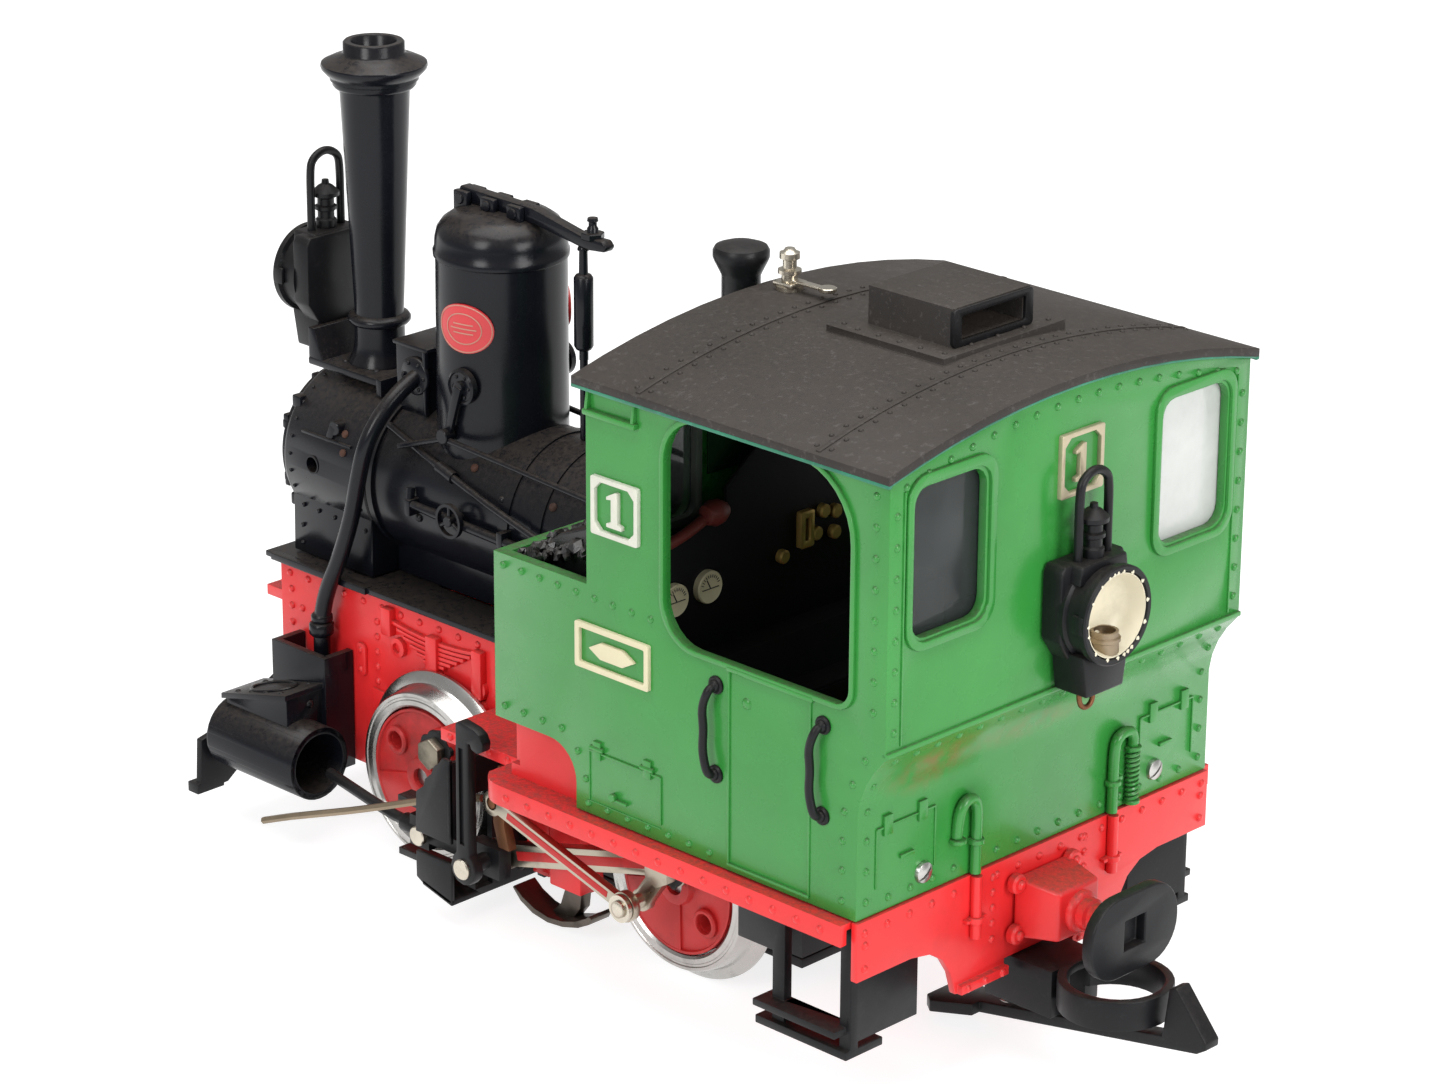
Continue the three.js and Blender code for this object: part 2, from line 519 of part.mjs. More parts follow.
// The rear discs carry a plain crank stub, the front ones a hole for a screwed pin.
function disc(x, side, angle) {
  const r = DISC_R - GAP;
  const face = turnedY([[AXLE_R + 0.1, WHEEL_BACK], [r, WHEEL_BACK], [r, WHEEL_FACE - 0.6], [4.4, WHEEL_FACE - 0.6],
    [4, WHEEL_FACE + 0.6], [AXLE_R + 0.1, WHEEL_FACE + 0.6], [AXLE_R + 0.1, WHEEL_BACK]], x, AXLE_Z, side, 24);
  const place = (degrees, radius) => [x + radius * Math.cos(degrees * Math.PI / 180),
    AXLE_Z + radius * Math.sin(degrees * Math.PI / 180)];
  const [px, pz] = place(angle, CRANK_R);
  const boss = round("y", ...span(side, WHEEL_FACE - 1, WHEEL_FACE + 1.6), px, pz, 4.4, { sides: 14 });
  const stub = round("y", ...span(side, WHEEL_FACE, ROD_IN - GAP), px, pz, 2, { sides: 12 });
  const pinWay = round("y", ...span(side, WHEEL_BACK - 1, WHEEL_FACE + 4), px, pz, 1.7, { sides: 10 });
  const holes = [90, -90].map((turn) => round("y", ...span(side, WHEEL_BACK - 1, WHEEL_FACE + 2),
    ...place(angle + turn, 9.6), 1.95, { sides: 10 }));
  const drilled = cut(join(face, boss), ...holes);
  return x === REAR_AXLE_X ? join(drilled, stub) : cut(drilled, pinWay);
}

// The crank pin screws into the disc; length is how far its head stands out.
function crankPin(x, side, angle, headIn, headOut) {
  const px = x + CRANK_R * Math.cos(angle * Math.PI / 180);
  const pz = AXLE_Z + CRANK_R * Math.sin(angle * Math.PI / 180);
  const shank = round("y", ...span(side, WHEEL_BACK + 0.5, headIn + 0.2), px, pz, 1.4, { sides: 16 });
  const head = round("y", ...span(side, headIn, headOut), px, pz, 3.3, { sides: 6 });
  return join(shank, head);
}

for (const [x, end] of [[FRONT_AXLE_X, "front"], [REAR_AXLE_X, "rear"]]) {
  piece(`axle_${end}`, axle(x), STEEL, 0.9, 0.35);
  for (const [side, word] of [[1, "left"], [-1, "right"]]) {
    const angle = CRANK_ANGLE + (side > 0 ? 0 : QUARTER);
    piece(`tyre_${end}_${word}`, tyre(x, side), STEEL, 0.9, 0.35);
    piece(`wheel_disc_${end}_${word}`, disc(x, side, angle), RED);
    if (end === "front") {
      piece(`crank_pin_front_${word}`, crankPin(x, side, angle, 27.9, 30), NICKEL, 0.9, 0.35);
    }
  }
}

// ---- drive inside the frame ----
function gearbox() {
  const tub = box(44, 158, -14.6, 14.6, -33, -8);
  const hollow = box(46, 156, -12.8, 12.8, -31.4, 0);
  const ways = [FRONT_AXLE_X, REAR_AXLE_X].map((x) => round("y", -30, 30, x, AXLE_Z, AXLE_R + 0.15, { sides: 24 }));
  return cut(tub, hollow, ...ways);
}

function motor() {
  const can = plate("x", 86, 118, rounded(-11.4, 11.4, -22, -4, 5), 5);
  const noses = round("x", 84, 120, 0, -13, 3, { sides: 16 });
  const shaftWay = round("x", 80, 124, 0, -13, 1.4, { sides: 16 });
  return cut(join(can, noses), shaftWay);
}

function wormShaft() {
  const shaft = round("x", 55, 147.5, 0, -13, 1.1, { sides: 8 });
  const worms = [REAR_AXLE_X, FRONT_AXLE_X].flatMap((x) => {
    const threads = [-4.4, 0, 4.4].map((dx) =>
      round("x", x + dx - 0.8, x + dx + 0.8, 0, -13, 1.9, { sides: 8 }));
    return [round("x", x - 7.4, x + 7.4, 0, -13, 1.5, { sides: 8 }), ...threads];
  });
  return join(shaft, ...worms);
}

piece("gearbox", gearbox(), BLACK);
piece("gearbox_cover", join(box(44, 110.6, -14.6, 14.6, -35.2, -33 - GAP), box(44, 158, -10, 10, -35.2, -33 - GAP)), BLACK);
piece("motor", motor(), STEEL, 0.8, 0.4);
piece("worm_shaft", wormShaft(), BRONZE, 0.9, 0.35);

function pickupShoe(side) {
  const sole = plate("y", ...span(side, 21.6, 26.4), [[88.6, -36.6], [90.4, -38], [95, -39.8], [99.4, -40.4], [104, -39.8],
    [109, -37.6], [111.6, -34.6], [112.4, -35.2], [110.6, -38.8], [105, -41.2], [99.4, -41.5], [94, -41.1],
    [89.6, -39], [88, -37.2]].reverse());
  const neck = box(93.4, 96.6, ...span(side, 21.8, 24.6), -40, -27);
  return join(sole, neck);
}

// ---- motion, one set each side ----
function motionBracket() {
  const wing = (side) => {
    const half = [[15.2, -36.6], [32, -36.6], [38, -32], [38, -12], [34, -8], [29.8, -5.4], [29.8, -4.3], [19.2, -4.3],
      [19.2, -31.4], [15.2, -31.4]];
    const outline = side > 0 ? half : half.map(([y, z]) => [-y, z]).reverse();
    const blockWay = box(110, 120, ...span(side, 29.6, 40), CROSSHEAD_Z - 4.6, CROSSHEAD_Z + 4.6);
    const bars = [CROSSHEAD_Z + 4.9, CROSSHEAD_Z - 6.3].map((z) =>
      box(113, 131.5, ...span(side, CROSS_IN - 0.2, CROSS_OUT + 0.2), z, z + 1.4));
    const rodWay = box(110, 120, ...span(side, 29.6, 33.2), -34.4, -17.4);
    const valveWay = box(110, 120, ...span(side, 33.9, 36.1), -17.6, -12);
    return cut(join(plate("x", 113, 114.4, outline), ...bars), blockWay, rodWay, valveWay);
  };
  const bridge = box(112.4, 114.4, -16, 16, -38.2, -35.6);
  return join(wing(1), wing(-1), bridge);
}

function crankAt(side) {
  const angle = (CRANK_ANGLE + (side > 0 ? 0 : QUARTER)) * Math.PI / 180;
  return [REAR_AXLE_X + CRANK_R * Math.cos(angle), AXLE_Z + CRANK_R * Math.sin(angle)];
}

// The crosshead pin lies one rod length ahead of the crank pin.
function crossheadX(side) {
  const [cx, cz] = crankAt(side);
  return cx + Math.sqrt(ROD_LENGTH ** 2 - (cz - CROSSHEAD_Z) ** 2);
}

function crosshead(side) {
  const x = crossheadX(side);
  const block = box(x - 4, x + 21.5, ...span(side, CROSS_IN, CROSS_OUT), CROSSHEAD_Z - 3.2, CROSSHEAD_Z + 3.2);
  const waist = box(x + 4, x + 16, ...span(side, CROSS_IN - 1, CROSS_OUT + 1), CROSSHEAD_Z + 1.6, CROSSHEAD_Z + 4);
  const under = box(x + 4, x + 16, ...span(side, CROSS_IN - 1, CROSS_OUT + 1), CROSSHEAD_Z - 4, CROSSHEAD_Z - 1.6);
  const middle = (CROSS_IN + CROSS_OUT) / 2 * side;
  const rod = rodAlong([[x + 20, middle, CROSSHEAD_Z], [x + 28, middle, CROSSHEAD_Z + 0.4],
    [x + 50, CYLINDER_Y * side, CYLINDER_Z - 1]], 1.15, { steps: 4, sides: 8 });
  const gland = round("x", x + 20.5, x + 24.5, middle, CROSSHEAD_Z, 1.9, { sides: 16 });
  const pin = round("y", ...span(side, ROD_IN + 0.2, LEVER_OUT + 0.4), x, CROSSHEAD_Z, 1.7, { sides: 16 });
  return join(cut(block, waist, under), rod, gland, pin);
}

function mainRod(side) {
  const [cx, cz] = crankAt(side);
  const bar = linkBar(cx, cz, crossheadX(side), CROSSHEAD_Z, 4.3, 3.4, 2.2, ROD_IN * side, ROD_OUT * side);
  return cut(bar, round("y", ...span(side, 20, 34), cx, cz, 1.7, { sides: 16 }),
    round("y", ...span(side, 20, 34), crossheadX(side), CROSSHEAD_Z, 2, { sides: 16 }));
}

function returnCrank(side) {
  const [cx, cz] = crankAt(side);
  const arm = linkBar(cx, cz, REAR_AXLE_X, AXLE_Z - 0.4, 2.9, 2.2, 1.9, (ROD_OUT + GAP) * side, (ROD_OUT + 2.1) * side);
  const bolt = round("y", ...span(side, ROD_IN, ROD_OUT + 0.6), cx, cz, 1.4, { sides: 16 });
  const head = round("y", ...span(side, ROD_OUT + 1.9, ROD_OUT + 4), cx, cz, 3.3, { sides: 6 });
  const stud = round("y", ...span(side, ROD_OUT + 2, ECC_IN - 0.4), REAR_AXLE_X, AXLE_Z - 0.4, 1.5, { sides: 12 });
  return join(arm, bolt, head, stud);
}

function eccentricRod(side) {
  const bar = linkBar(REAR_AXLE_X, AXLE_Z - 0.4, LINK_X + 0.6, LINK_Z - 2.6, 3, 2.5, 1.3, ECC_IN * side, ECC_OUT * side);
  const boss = round("y", ...span(side, ECC_IN + 0.2, ECC_OUT + 1.6), REAR_AXLE_X, AXLE_Z - 0.4, 1.7, { sides: 16 });
  const eye = round("y", ...span(side, 30, 45), LINK_X + 0.6, LINK_Z - 2.6, 1.35, { sides: 12 });
  return cut(bar, eye).add(boss);
}

function expansionLink(side) {
  const slot = plate("y", ...span(side, 35.2, 37.2), [[99.6, -21.8], [102.6, -21.8], [104, -17], [104, -8], [102.4, -4.8],
    [99.4, -4.8], [101, -9], [101, -17]]);
  const pivot = round("y", ...span(side, 36, ECC_OUT + 0.1), LINK_X + 0.6, LINK_Z - 2.6, 1, { sides: 12 });
  return join(slot, pivot);
}

function radiusRod(side) {
  const y = 35 * side;
  return rodAlong([[109.4, y, -14.4], [113.8, y, -15.4], [120, 36.6 * side, -17.2], [127, 39 * side, -19.6],
    [140, 40.6 * side, -24.6], [158, 41.9 * side, -31.2], [166, 42.4 * side, -34.4]], 0.75, { steps: 14, sides: 6 });
}

function combinationLever(side) {
  const x = crossheadX(side);
  const bar = plate("y", ...span(side, LEVER_IN, LEVER_OUT), [[x - 3.4, CROSSHEAD_Z - 1.6], [x - 1.6, CROSSHEAD_Z - 3.4],
    [x + 1.6, CROSSHEAD_Z - 3.4], [x + 3.4, CROSSHEAD_Z - 1.6], [x + 3.4, CROSSHEAD_Z + 2], [x + 1.6, CROSSHEAD_Z + 4.4],
    [x + 0.4, 3.4], [x - 0.6, 4.6], [x - 6, 4.2], [x - 6.8, 2.6], [x - 6.4, 1], [x - 4.4, 1], [x - 3, 2.4],
    [x - 2.6, 1], [x - 2.2, CROSSHEAD_Z + 6]]);
  return bar.subtract(round("y", ...span(side, 30, 45), x, CROSSHEAD_Z, 2, { sides: 16 }));
}

piece("motion_bracket", motionBracket(), BLACK);
for (const [side, word] of [[1, "left"], [-1, "right"]]) {
  piece(`pickup_shoe_${word}`, pickupShoe(side), STEEL, 0.9, 0.4);
  piece(`crosshead_${word}`, crosshead(side), BLACK);
  piece(`main_rod_${word}`, mainRod(side), NICKEL, 0.9, 0.35);
  piece(`return_crank_${word}`, returnCrank(side), NICKEL, 0.9, 0.35);
  piece(`eccentric_rod_${word}`, eccentricRod(side), NICKEL, 0.9, 0.35);
  piece(`expansion_link_${word}`, expansionLink(side), COPPER, 0.8, 0.6);
  piece(`radius_rod_${word}`, radiusRod(side), BRONZE, 0.9, 0.4);
  piece(`combination_lever_${word}`, combinationLever(side), BLACK);
}

// ---- buffer and coupler ----
// The housing tapers from a broad root on the beam to a narrow neck.
function bufferHousing() {
  const root = { x: -1.5, y: 6.9, z: 6 };
  const mouth = { x: -13.6, y: 4.9, z: 4.7 };
  const geometry = new THREE.BoxGeometry(2, 2, 2);
  const points = geometry.attributes.position;
  for (let i = 0; i < points.count; i += 1) {
    const end = points.getX(i) > 0 ? root : mouth;
    points.setXYZ(i, end.x, points.getY(i) * end.y, BUFFER_Z + points.getZ(i) * end.z);
  }
  const flange = box(-1.9, -0.9, -9, 9, BUFFER_Z - 6.4, BUFFER_Z + 6.4);
  const neck = round("x", -16.4, -13, 0, BUFFER_Z, 3.5, { sides: 16 });
  const way = round("x", -20, -4, 0, BUFFER_Z, 2.3, { sides: 16 });
  return cut(join(solid(geometry), flange, neck), way);
}

function bufferPlate() {
  const face = plate("x", -23.4, -21, rounded(-12, 12, BUFFER_Z - 7.8, BUFFER_Z + 7.8, 7.4), 4);
  const slot = box(-24, -20, -2.8, 2.8, BUFFER_Z - 2.9, BUFFER_Z + 2.9);
  const backing = box(-21.2, -20.2, -3.6, 3.6, BUFFER_Z - 4.4, BUFFER_Z + 4.4);
  const stem = round("x", -20.6, -8, 0, BUFFER_Z, 2, { sides: 14 });
  return join(cut(face, slot), backing, stem);
}

// A ring standing out from a hollow pocket under the beam.
function couplerLoop() {
  const ring = round("z", LOOP_LOW, LOOP_HIGH, LOOP_X, 0, 10.6, { sides: 32 });
  const eye = round("z", -40, -10, LOOP_X, 0, 8.8, { sides: 32 });
  const pocket = box(-10, 6, -6.6, 6.6, POCKET_LOW, LOOP_HIGH);
  const channel = box(-12, 12, -2.6, 2.6, -40, LOOP_HIGH - 1.8);
  return cut(join(ring, pocket), eye, channel);
}

// One straight lever that leans down towards its counterweighted tail.
function couplerHook() {
  const fall = Math.tan(HOOK_LEAN * Math.PI / 180);
  const under = (x) => HOOK_LOW - (x - HOOK_TIP) * fall;
  const over = (x) => under(x) + 2.4;
  const bar = plate("y", -1.9, 1.9, [[HOOK_TIP, under(HOOK_TIP) + 1], [-39.6, under(-39.6)], [14, under(14)],
    [14, over(14)], [-31.8, over(-31.8)], [-33, -17.2], [-34.6, -16.6], [HOOK_TIP, over(HOOK_TIP)]]);
  const tail = plate("y", -5.6, 5.6, [[11, under(11)], [23, under(23)], [23, over(23)], [11, over(11)]]);
  const corners = plate("z", -60, 0, [[-50, -1.9], [11, -4], [20, -5.6], [23, -3], [23, 3], [20, 5.6],
    [11, 4], [-50, 1.9]]);
  return join(bar, tail).intersect(corners);
}

piece("buffer_housing", bufferHousing(), RED);
piece("buffer_plate", bufferPlate(), BLACK);
piece("coupler_loop", couplerLoop(), BLACK);
piece("coupler_hook", couplerHook(), BLACK);

export default group;
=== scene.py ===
"""A garden-railway tank engine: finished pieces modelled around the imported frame, in metres."""

import json
import math
import random

import bpy
from mathutils import Matrix, Vector


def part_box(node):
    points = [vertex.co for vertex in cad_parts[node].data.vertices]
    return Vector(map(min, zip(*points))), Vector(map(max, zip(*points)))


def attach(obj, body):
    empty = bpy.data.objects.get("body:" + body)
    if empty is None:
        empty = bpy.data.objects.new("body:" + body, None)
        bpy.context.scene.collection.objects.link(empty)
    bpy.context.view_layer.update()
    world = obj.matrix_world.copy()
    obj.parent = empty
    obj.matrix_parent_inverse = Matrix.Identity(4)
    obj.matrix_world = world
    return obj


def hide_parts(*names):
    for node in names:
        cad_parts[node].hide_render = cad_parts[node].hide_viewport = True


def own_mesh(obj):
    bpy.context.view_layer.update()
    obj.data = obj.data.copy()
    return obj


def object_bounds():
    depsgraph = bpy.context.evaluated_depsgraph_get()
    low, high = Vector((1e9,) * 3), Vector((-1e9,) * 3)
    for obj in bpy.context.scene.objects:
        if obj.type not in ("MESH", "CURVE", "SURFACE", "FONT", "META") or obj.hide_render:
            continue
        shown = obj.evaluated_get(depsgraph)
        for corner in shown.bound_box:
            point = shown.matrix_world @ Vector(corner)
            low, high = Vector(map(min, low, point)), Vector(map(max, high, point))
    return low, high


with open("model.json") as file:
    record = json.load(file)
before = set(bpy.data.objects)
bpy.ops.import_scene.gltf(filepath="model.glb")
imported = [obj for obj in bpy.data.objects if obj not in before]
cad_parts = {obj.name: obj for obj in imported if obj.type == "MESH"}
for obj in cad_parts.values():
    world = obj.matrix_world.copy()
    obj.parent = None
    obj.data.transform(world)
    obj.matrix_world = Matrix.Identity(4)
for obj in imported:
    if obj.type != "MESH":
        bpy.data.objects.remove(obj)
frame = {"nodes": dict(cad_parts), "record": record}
cad_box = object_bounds()

# ---- the working frame ----
# Places are given in millimetres from the lower rear corner line of the cab: x ahead towards
# the chimney, y to the engine's left, z up from the footplate.
MM = 0.001
CAB_OVERHANG = 6.2
SIDES = ((1, "left"), (-1, "right"))
cab_low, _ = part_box("cab_body")
ORIGIN = Vector((cab_low.x + CAB_OVERHANG * MM, 0, cab_low.z))
AXIS = {"x": Vector((1, 0, 0)), "y": Vector((0, 1, 0)), "z": Vector((0, 0, 1))}


def at(x, y, z):
    """A place in working millimetres, in metres."""
    return ORIGIN + Vector((x, y, z)) * MM


def span_of(node):
    """Lowest and highest corner of a frame node, in working millimetres."""
    low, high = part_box(node)
    return (low - ORIGIN) / MM, (high - ORIGIN) / MM


def middle_of(node):
    low, high = span_of(node)
    return (low + high) / 2


CAB_HALF = span_of("cab_body")[1].y
TANK_FRONT = span_of("cab_body")[1].x
SILL_HALF = span_of("footplate")[1].y
ROOF_HALF = span_of("cab_roof")[1].y
ROOF_BACK = span_of("cab_roof")[0].x
ROOF_FRONT = span_of("cab_roof")[1].x
ROOF_EDGE = 83.9
ROOF_RISE = 6.5
ROOF_RADIUS = (ROOF_HALF ** 2 + ROOF_RISE ** 2) / (2 * ROOF_RISE)
BOILER_Z = 31.4
SMOKEBOX_R = span_of("smokebox")[1].y
DOME_R = 13
DOME_X = span_of("steam_dome")[1].x - DOME_R
CHIMNEY = middle_of("chimney")
CHIMNEY_TOP = span_of("chimney")[1].z
WHEELS = {end: middle_of("axle_" + end) for end in ("front", "rear")}
CRANK_THROW = 9.8
CRANK_TURN = {"left": 127, "right": 217}
MAIN_ROD_LENGTH = 48.5
MAIN_ROD_PIN_Z = -26.0
GUIDE_PIN_AHEAD = 17.6
LINK_PIN = (101.6, -11.6)
CYLINDER_Y, CYLINDER_Z = 32.5, -23.3
FRAME_HALF = 18.5
BUFFER_Z = -10
BEND_TOP, BEND_FOOT = 32.2, 20
PLATE_HALF = (6.3, 4.9)
PLATE_TURN = math.radians(-12.7)
PLATE_Z = 68.7
MERGE = 0.002 * MM
DUST_TINT = (0.060, 0.047, 0.036)
GRIME_TINT = (0.035, 0.028, 0.022)
STAIN_TINT = (0.20, 0.12, 0.035)

ENGINE = "engine"
REAR_X = -CAB_OVERHANG
BACKWARD, UPWARD = (-1, 0, 0), (0, 0, 1)
REAR_RIVET_YS = [-44 + 5.5 * i for i in range(17)]


def roof_z(y):
    """Height of the roof at a distance from its middle line."""
    return ROOF_EDGE + ROOF_RISE - ROOF_RADIUS + math.sqrt(ROOF_RADIUS ** 2 - y ** 2)


def roof_normal(y):
    return (0, y, math.sqrt(ROOF_RADIUS ** 2 - y ** 2))


def row(first, last, count):
    """Evenly spaced places from first to last."""
    start, end = Vector(first), Vector(last)
    return [tuple(start.lerp(end, i / (count - 1))) for i in range(count)]


def mirrored(side, near, far):
    """Two distances from the middle line, as low and high places on one side of the engine."""
    return sorted((side * near, side * far))


def full_turn(count):
    """Equal angles round a circle."""
    return [math.tau * i / count for i in range(count)]


def circle(u, v, radius, angle):
    """A place on a circle about (u, v)."""
    return u + radius * math.cos(angle), v + radius * math.sin(angle)


def barrel_y(side, radius, z):
    """How far out the skin of a boiler or smokebox stands at a height."""
    return side * math.sqrt(max(radius ** 2 - (z - BOILER_Z) ** 2, 0))


# ---- camera, light and floor ----
EYE = (-496.23, 590.18, 344.23)
EYE_HEADING = (0.65433, -0.67063, -0.34943)
EYE_ROLL = math.radians(0.32)
SENSOR_WIDTH, FOCAL_LENGTH = 36, 116.25
ROOM_LIGHT = 0.38
LIGHT_AIM = (0, 0, 0.07)
SOFTBOXES = (("key", (-0.12, 0.95, 0.62), (0.36, 0.5), 4.6),
             ("rear_fill", (-0.95, 0.05, 0.45), (0.45, 0.45), 5.4),
             ("top", (0.0, 0.0, 1.6), (1.6, 1.6), 30))
FLOOR_SIZE = 6
FLOOR_GAP = 0.0002
FLOOR_GLOW = 0.82


def facing_matrix(direction, track):
    return Vector(direction).to_track_quat(track, "Y").to_matrix().to_4x4()


def set_camera():
    """Camera behind and above the left side of the engine."""
    lean = Matrix.Rotation(EYE_ROLL, 4, "Z")
    data = bpy.data.cameras.new("camera")
    data.sensor_width = SENSOR_WIDTH
    data.lens = FOCAL_LENGTH
    data.clip_end = 50
    camera = bpy.data.objects.new("camera", data)
    bpy.context.collection.objects.link(camera)
    camera.matrix_world = Matrix.Translation(at(*EYE)) @ facing_matrix(EYE_HEADING, "-Z") @ lean
    bpy.context.scene.camera = camera


def softbox(name, place, size, power):
    data = bpy.data.lights.new(name, "AREA")
    data.shape = "RECTANGLE"
    data.size, data.size_y = size
    data.energy = power
    lamp = bpy.data.objects.new(name, data)
    bpy.context.collection.objects.link(lamp)
    aim = facing_matrix(Vector(LIGHT_AIM) - Vector(place), "-Z")
    lamp.matrix_world = Matrix.Translation(place) @ aim


def set_light():
    """Pale room with three soft lights."""
    bpy.context.scene.view_settings.view_transform = "Standard"
    world = bpy.data.worlds.new("studio")
    world.use_nodes = True
    background = world.node_tree.nodes["Background"]
    background.inputs["Color"].default_value = (1, 1, 1, 1)
    background.inputs["Strength"].default_value = ROOM_LIGHT
    bpy.context.scene.world = world
    for name, place, size, power in SOFTBOXES:
        softbox(name, place, size, power)


def build_floor():
    """A plain pale floor that glows a little, so that it stays white right up to the wheels."""
    low, _ = cad_box
    clear()
    bpy.ops.mesh.primitive_plane_add(size=FLOOR_SIZE, location=(0, 0, low.z - FLOOR_GAP))
    floor = bpy.context.object
    floor.name = "floor"
    material = bpy.data.materials.new("floor")
    material.use_nodes = True
    surface = material.node_tree.nodes["Principled BSDF"]
    surface.inputs["Base Color"].default_value = (0.35, 0.35, 0.35, 1)
    surface.inputs["Emission Color"].default_value = (1, 1, 1, 1)
    surface.inputs["Emission Strength"].default_value = FLOOR_GLOW
    surface.inputs["Roughness"].default_value = 0.7
    floor.data.materials.append(material)


# ---- finishes ----
FINISHES = {}


def link(tree, source, target):
    tree.links.new(source, target)


def ranged(tree, value, low, high, to_low=0.0, to_high=1.0):
    node = tree.nodes.new("ShaderNodeMapRange")
    node.inputs["From Min"].default_value = low
    node.inputs["From Max"].default_value = high
    node.inputs["To Min"].default_value = to_low
    node.inputs["To Max"].default_value = to_high
    link(tree, value, node.inputs["Value"])
    return node.outputs["Result"]


def noise(tree, scale, detail=4, rough=0.55):
    coord = tree.nodes.new("ShaderNodeTexCoord")
    node = tree.nodes.new("ShaderNodeTexNoise")
    node.inputs["Scale"].default_value = scale
    node.inputs["Detail"].default_value = detail
    node.inputs["Roughness"].default_value = rough
    link(tree, coord.outputs["Object"], node.inputs["Vector"])
    return node.outputs["Fac"]


def combined(tree, operation, a, b, clamp=False):
    """A sum or product; b is a socket or a plain number."""
    node = tree.nodes.new("ShaderNodeMath")
    node.operation = operation
    node.use_clamp = clamp
    link(tree, a, node.inputs[0])
    if hasattr(b, "links"):
        link(tree, b, node.inputs[1])
    else:
        node.inputs[1].default_value = b
    return node.outputs[0]


def times(tree, a, b):
    return combined(tree, "MULTIPLY", a, b)


def plus(tree, a, b):
    return combined(tree, "ADD", a, b, clamp=True)


def blend(tree, amount, below, above):
    node = tree.nodes.new("ShaderNodeMix")
    node.data_type = "RGBA"
    link(tree, amount, node.inputs[0])
    for socket, colour in ((node.inputs[6], below), (node.inputs[7], above)):
        if isinstance(colour, tuple):
            socket.default_value = (*colour, 1)
        else:
            link(tree, colour, socket)
    return node.outputs[2]


def upward(tree):
    """How much a surface faces up."""
    geometry = tree.nodes.new("ShaderNodeNewGeometry")
    split = tree.nodes.new("ShaderNodeSeparateXYZ")
    link(tree, geometry.outputs["Normal"], split.inputs[0])
    return ranged(tree, split.outputs["Z"], 0.25, 0.95)


def patch(tree, centre, half, soft=0.55):
    """A soft oval blot at a place on the engine."""
    coord = tree.nodes.new("ShaderNodeTexCoord")
    mapping = tree.nodes.new("ShaderNodeMapping")
    mapping.vector_type = "TEXTURE"
    mapping.inputs["Location"].default_value = at(*centre)
    mapping.inputs["Scale"].default_value = Vector(half) * MM
    ball = tree.nodes.new("ShaderNodeTexGradient")
    ball.gradient_type = "SPHERICAL"
    link(tree, coord.outputs["Object"], mapping.inputs["Vector"])
    link(tree, mapping.outputs["Vector"], ball.inputs["Vector"])
    return ranged(tree, ball.outputs["Fac"], 0.0, soft)


def finish(name, slot, colour, roughness, metallic=0.0, shade=0.12, dust=0.0, grime=0.0,
           grain=0.02, clear=0.0, blots=(), worn=0.0, shine=0.5):
    """A moulded, painted or metal surface with tone drift, dust on top, grime and fine grain."""
    material = bpy.data.materials.new(name)
    material.use_nodes = True
    tree = material.node_tree
    surface = tree.nodes["Principled BSDF"]
    surface.inputs["Metallic"].default_value = metallic
    surface.inputs["Specular IOR Level"].default_value = shine
    surface.inputs["Coat Weight"].default_value = clear
    surface.inputs["Coat Roughness"].default_value = 0.12
    drift = ranged(tree, noise(tree, 55), 0.3, 0.7)
    dark = tuple(c * (1 - shade) for c in colour)
    light = tuple(min(1, c * (1 + shade)) for c in colour)
    paint = blend(tree, drift, dark, light)
    rough = ranged(tree, noise(tree, 140, 6), 0.3, 0.75, roughness - 0.05, roughness + 0.07)
    if grime:
        smear = times(tree, ranged(tree, noise(tree, 90, 8, 0.7), 0.52, 0.72), grime)
        paint = blend(tree, smear, paint, GRIME_TINT)
        rough = plus(tree, rough, times(tree, smear, 0.25))
    for centre, half, tint, strength in blots:
        ragged = ranged(tree, noise(tree, 260, 5, 0.65), 0.38, 0.62)
        blot = times(tree, times(tree, patch(tree, centre, half), ragged), strength)
        paint = blend(tree, blot, paint, tint)
    if dust:
        specks = ranged(tree, noise(tree, 900, 8, 0.75), 0.30, 0.66)
        lying = times(tree, times(tree, upward(tree), specks), dust)
        paint = blend(tree, lying, paint, DUST_TINT)
        rough = plus(tree, rough, times(tree, lying, 0.35))
    if worn:
        rub = times(tree, ranged(tree, noise(tree, 700, 6, 0.7), 0.56, 0.66), worn)
        paint = blend(tree, rub, paint, tuple(min(1, c * 1.9 + 0.03) for c in colour))
    link(tree, paint, surface.inputs["Base Color"])
    link(tree, rough, surface.inputs["Roughness"])
    bump = tree.nodes.new("ShaderNodeBump")
    bump.inputs["Strength"].default_value = grain * 10
    bump.inputs["Distance"].default_value = 0.00004
    link(tree, noise(tree, 2600, 3), bump.inputs["Height"])
    link(tree, bump.outputs["Normal"], surface.inputs["Normal"])
    FINISHES[name] = (material, slot)


def glazing(name, colour, haze_low, haze_high):
    """Clear plastic, scuffed so that it hides between haze_low and haze_high of what is behind."""
    material = bpy.data.materials.new(name)
    material.use_nodes = True
    tree = material.node_tree
    surface = tree.nodes["Principled BSDF"]
    surface.inputs["Base Color"].default_value = (*colour, 1)
    surface.inputs["IOR"].default_value = 1.45
    haze = ranged(tree, noise(tree, 60, 5, 0.6), 0.3, 0.7, haze_low, haze_high)
    link(tree, haze, surface.inputs["Alpha"])
    link(tree, ranged(tree, noise(tree, 90, 4), 0.3, 0.7, 0.08, 0.2), surface.inputs["Roughness"])
    FINISHES[name] = (material, "black_plastic")


